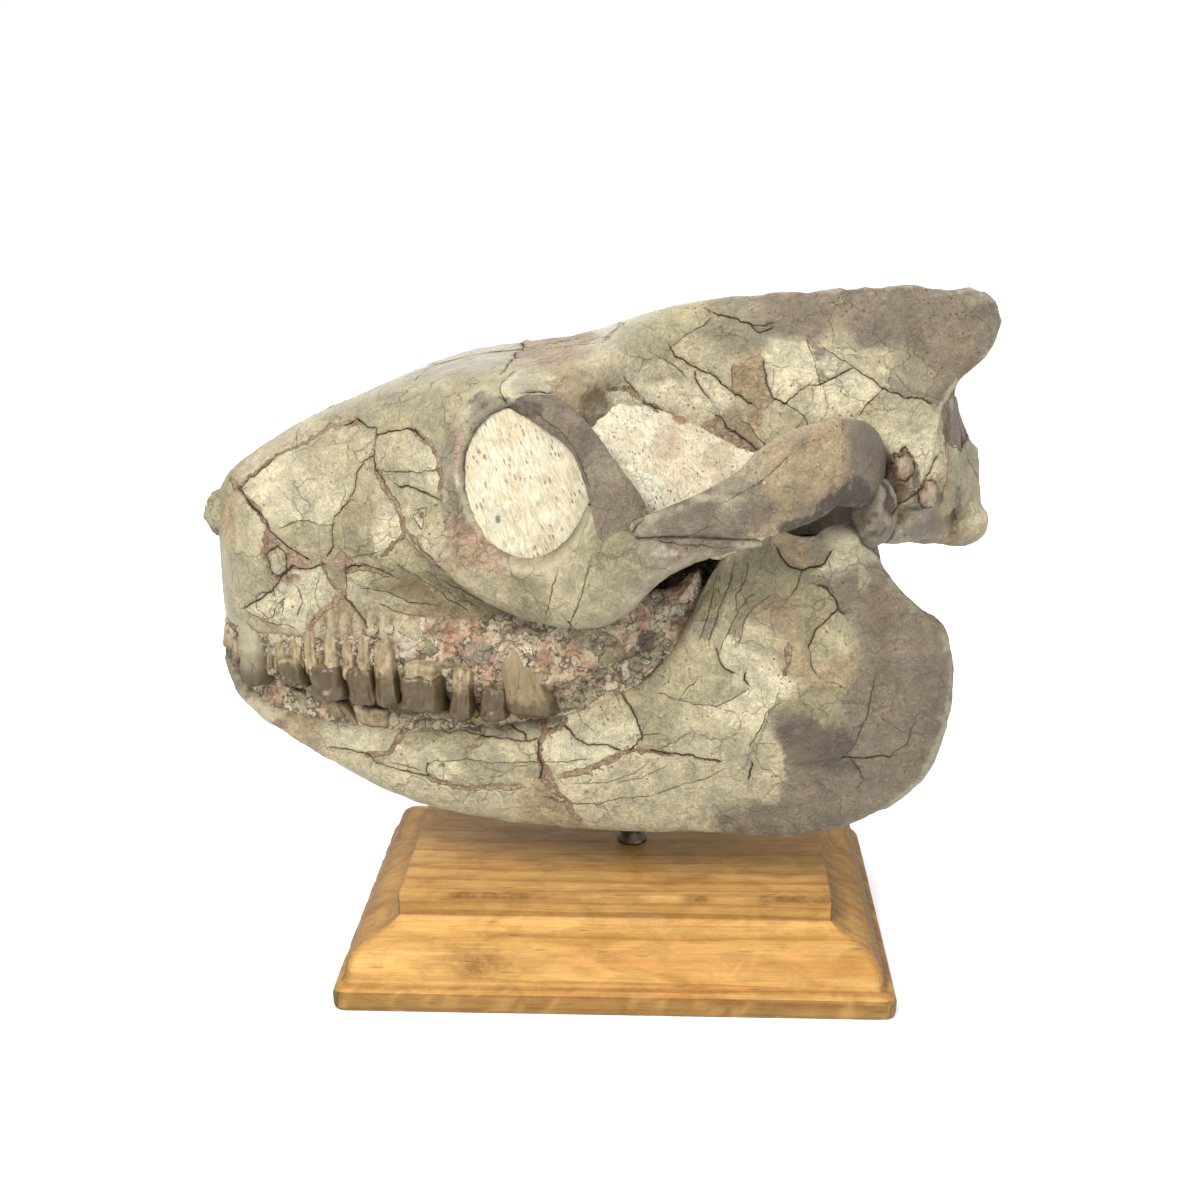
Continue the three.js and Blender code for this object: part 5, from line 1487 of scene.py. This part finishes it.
def makeGum(finish):
    chance = random.Random(31)
    run = through(gumStations)
    bm = bmesh.new()
    for side in sides.values():
        rings = []
        for x in np.linspace(gumStations[0][0], gumStations[-1][0], 90):
            low, high, lowFace, highFace = run(x)
            outline = [(x, lowFace, low), (x, lowFace + 0.4, low + 9), (x, highFace, low + 15),
                       (x, highFace, high - 6), (x, highFace - 1.5, high), (x, max(highFace - 9, 0), high),
                       (x, max(lowFace - 8, 0), low)]
            rings.append(closedLoop(outline, 34) * (1, side, 1))
        sleeve(bm, rings)
        for place, size in gumLumps:
            knob(bm, place, size, side)
        for _ in range(gum["crumbs"]):
            x = chance.uniform(-107, 15)
            low, high, lowFace, highFace = run(x)
            z = chance.uniform(low + 8, high - 2)
            out = (highFace if z > low + 14 else lowFace) + chance.uniform(-0.9, 0.4)
            size = chance.uniform(*gum["crumbSize"])
            crumb = bmesh.ops.create_icosphere(bm, subdivisions=1, radius=size)["verts"]
            squash = Vector((chance.uniform(0.7, 1.4), chance.uniform(0.5, 0.9), chance.uniform(0.6, 1.3)))
            for vert in crumb:
                vert.co = Vector((x, out * side, z)) + vert.co * squash
    obj = newObject("mouth_rock_stone", bm)
    remesh(obj, gum["cell"])
    mesh = obj.data
    relax(mesh, gum["settle"], 0.4)
    places, out = points(mesh), normalsOf(mesh)
    lift = 0.5 * lumps(places, 4, 3, 60) + 0.45 * lumps(places, 1.3, 3, 71)
    setPoints(mesh, places + out * lift[:, None])
    storeHollow(mesh, edgesOf(mesh), 1.8, 0.3)
    storePatches(mesh, gumPatches)
    finishPiece(obj, finish, "pink_rock")


# The stand: a plaque of pine with a moulded edge, and a dark rod.

plaque = {"length": 152, "width": 102, "height": 27.2, "inset": 16.5, "edge": 0.6, "rows": 76}
# The plaque's edge from below: inset, height.
moulding = [
    (1.0, 0.0), (0.2, 0.6), (0.0, 1.4), (0.0, 4.6), (0.3, 5.9), (0.9, 6.9), (2.3, 7.3), (2.8, 8.0),
    (3.0, 9.4), (3.2, 11.0), (3.7, 12.6), (4.6, 14.2), (6.0, 15.5), (7.6, 16.4), (9.2, 17.0), (11.0, 17.5),
    (12.6, 18.1), (14.0, 18.8), (15.2, 19.5), (16.0, 20.2), (16.4, 20.6),
]
wood = {"early": (255, 202, 120), "late": (208, 142, 66), "deep": (116, 66, 26), "sideShade": (96, 66, 34),
        "ringWidth": 2.7, "pith": (30, -62), "roughness": 0.5, "specular": 0.12}
rod = {"x": 4, "y": 0, "radius": 3.55, "low": 12.1, "high": 63.9, "collar": 4.3, "around": 48,
       "dark": (0.045, 0.036, 0.026), "light": (0.13, 0.1, 0.065)}


def woodFinish():
    material, tree, shader, where = newMaterial("pine")
    early, late, deep = (paint(wood[key]) for key in ("early", "late", "deep"))
    drift = warped(warped(stretched(where, (0.14, 1, 1)), 34, 9), 4, 0.7)
    parts = partsOf(drift)
    away = [minus(parts[axis], pith) for axis, pith in ((1, wood["pith"][0]), (2, wood["pith"][1]))]
    squares = [times(part, part) for part in away]
    radius = node(tree, "ShaderNodeMath", {0: plus(*squares)}, operation="SQRT").outputs[0]
    turns = calculate("DIVIDE", radius, wood["ringWidth"])
    phase = node(tree, "ShaderNodeMath", {0: turns}, operation="FRACT").outputs[0]
    lateWood = times(ramp(phase, 0.45, 0.93), ramp(phase, 0.93, 0.99, 1, 0))
    depth = ramp(cloud(stretched(where, (0.1, 1, 1)), 16, 3), 0.35, 0.65, 0.05, 0.7)
    color = blend(times(lateWood, depth), early, late)
    fibres = cloud(stretched(where, (0.03, 1, 1)), 0.6, 5, 0.7)
    color = blend(ramp(fibres, 0.38, 0.75, 0, 0.55), color, late)
    broad = cloud(stretched(where, (0.3, 1, 1)), 15, 5, 0.65, 0.8)
    color = blend(ramp(broad, 0.46, 0.7, 0, 0.5), color, late)
    uneven = cloud(stretched(where, (0.5, 1, 1)), 7, 5, 0.7, 1.0)
    color = shaded(color, uneven, 0.32, 0.68, (0.82, 0.8, 0.76), (1.14, 1.14, 1.14))
    specks = cells(stretched(where, (0.12, 1, 1)), 2.2)
    color = blend(times(ramp(specks, 0.05, 0.16, 1, 0), 0.45), color, deep)
    # Painted shade on the stand's upright faces and its ends.
    color = blend(attribute(tree, "sideShade"), color, paint(wood["sideShade"]))
    patchy = ramp(cloud(where, 3, 5, 0.7), 0.35, 0.65, 0.5, 1.0)
    color = blend(times(attribute(tree, "darkMarks"), patchy, 0.75), color, deep)
    color = blend(times(attribute(tree, "worn"), 0.7), color, early)
    plug(shader, {"Base Color": color, "Specular IOR Level": wood["specular"],
                  "Roughness": ramp(fibres, 0.3, 0.8, wood["roughness"], wood["roughness"] + 0.2),
                  "Normal": relief(plus(times(fibres, 0.6), times(lateWood, 0.5)), 0.35, 0.3)})
    return material


def steelFinish():
    material, tree, shader, where = newMaterial("darkSteel")
    stain = cloud(where, 3, 5)
    plug(shader, {"Base Color": blend(ramp(stain, 0.4, 0.65), rod["dark"], rod["light"]), "Metallic": 0.85,
                  "Roughness": ramp(stain, 0.3, 0.7, 0.3, 0.55)})
    return material


def frameRing(inset, z, count):
    halfLong, halfWide = plaque["length"] / 2 - inset, plaque["width"] / 2 - inset
    acrossCount = round(count * plaque["width"] / plaque["length"])
    radius = float(np.interp(inset, (0, 4, 16), (3.2, 2.6, 0.6)))
    corners = [(1, -1), (1, 1), (-1, 1), (-1, -1)]
    ring = []
    for index, (signX, signY) in enumerate(corners):
        middle = (signX * (halfLong - radius), signY * (halfWide - radius))
        for step in range(6):
            angle = math.radians(index * 90 - 90 + 18 * step)
            ring.append((middle[0] + radius * math.cos(angle), middle[1] + radius * math.sin(angle), z))
        nextX, nextY = corners[(index + 1) % 4]
        steps = count if index % 2 else acrossCount
        turned = math.radians(index * 90)
        start = np.array(ring[-1][:2])
        after = (nextX * (halfLong - radius), nextY * (halfWide - radius))
        finish = np.array(after) + radius * np.array((math.cos(turned), math.sin(turned)))
        ring += [(*(start + (finish - start) * step / steps), z) for step in range(1, steps)]
    return ring


def makeStand():
    inset, edge, top = plaque["inset"], plaque["edge"], plaque["height"]
    profile = moulding + [(inset, 20.9), (inset, 22.4), (inset, 24.6), (inset, top - edge),
                          (inset + edge * 0.3, top - edge * 0.3), (inset + edge, top), (inset + 2.6, top)]
    bm = bmesh.new()
    count = round(plaque["rows"] / coarse)
    skinned(bm, [frameRing(*step, count) for step in profile])
    obj = newObject("stand_base_wood", bm)
    mesh = obj.data
    places = points(mesh)
    x, y, z = places.T
    nearEnds = smoothstep(0, 1, (np.abs(x) / (plaque["length"] / 2)) ** 30)
    ragged = np.clip(lumps(places, 5, 3, 90), 0, 1) * (0.15 + 0.5 * nearEnds)
    edgy = np.exp(-((z - 6.6) / 1.2) ** 2) + np.exp(-((z - 0.6) / 1.0) ** 2)
    outward = np.column_stack([x / plaque["length"], y / plaque["width"], np.zeros(len(places))])
    setPoints(mesh, places - outward * (ragged * edgy * 1.6)[:, None])
    # Darker in a spot on the front of the moulding, along the front's top edge and in the moulding's two
    # grooves.
    dark = np.exp(-(((x + 36) / 11) ** 2 + ((z - 12.5) / 4) ** 2)) * (y < -30)
    lip = np.exp(-((z - top + 0.6) / 1.1) ** 2) * smoothstep(-0.2, 0.5, lumps(places, 14, 2, 8))
    lip *= y < inset + 2 - plaque["width"] / 2
    groove = np.exp(-((z - 7.2) / 0.5) ** 2) + np.exp(-((z - 20.9) / 0.5) ** 2)
    nicks = smoothstep(0.25, 0.45, lumps(places * (0.6, 1, 1.6), 2.6, 2, 31)) * (z < 7)
    store(mesh, "darkMarks", np.clip(dark + 1.3 * lip + 0.5 * groove, 0, 1))
    store(mesh, "worn", np.clip(ragged * edgy * 2 + 0.45 * nicks, 0, 1))
    # Painted shade on each face that doesn't face up: the plinth's and the step's upright faces, and most of
    # all the two ends.
    sideShade = mesh.attributes.new("sideShade", "FLOAT", "FACE")
    for polygon, value in zip(mesh.polygons, sideShade.data):
        upward, sideways = polygon.normal.z, abs(polygon.normal.x)
        value.value = (0.55 if polygon.center.z < 6 else 0.3 if polygon.center.z > 20 else 0) * (upward < 0.5)
        value.value = min(value.value + 0.85 * sideways, 0.88)
    finishPiece(obj, woodFinish(), "pine", "stand_base")
    for polygon in mesh.polygons:
        polygon.use_smooth = False

    bm = bmesh.new()
    radius, collar = rod["radius"], rod["collar"]
    levels = [(rod["low"], radius), (top + 0.05, radius), (top + 0.06, collar), (top + 0.9, collar),
              (top + 1.3, radius), (rod["high"], radius)]
    angles = np.linspace(0, math.tau, rod["around"], endpoint=False)
    skinned(bm, [[(rod["x"] + math.cos(angle) * wide, rod["y"] + math.sin(angle) * wide, z)
                  for angle in angles] for z, wide in levels])
    finishPiece(newObject("stand_rod_steel", bm), steelFinish(), "dark_steel", "stand_rod")


boneSkin = boneFinish("boneSkin")
makeCranium()
makeStruts()
makeJaw()
pinkRock = rockFinish("pinkRock", rocks["pink"])
makeRocks(pinkRock)
makeGum(pinkRock)
makeTeeth()
makeStand()

floorMaterial, floorTree, floorShader, floorPlace = newMaterial("studioFloor")
fromMiddle = node(floorTree, "ShaderNodeVectorMath", {0: floorPlace}, operation="LENGTH").outputs["Value"]
glow = ramp(fromMiddle, 120, 600, 0, 0.24)  # none under the stand, so that its shadow shows
plug(floorShader, {"Base Color": (0.8, 0.8, 0.8, 1), "Roughness": 0.9, "Emission Color": (1, 1, 1, 1),
                   "Emission Strength": glow})
floorMesh = bmesh.new()
bmesh.ops.create_grid(floorMesh, x_segments=1, y_segments=1, size=12)
floor = newObject("studioFloor", floorMesh)
floor.data.materials.append(floorMaterial)
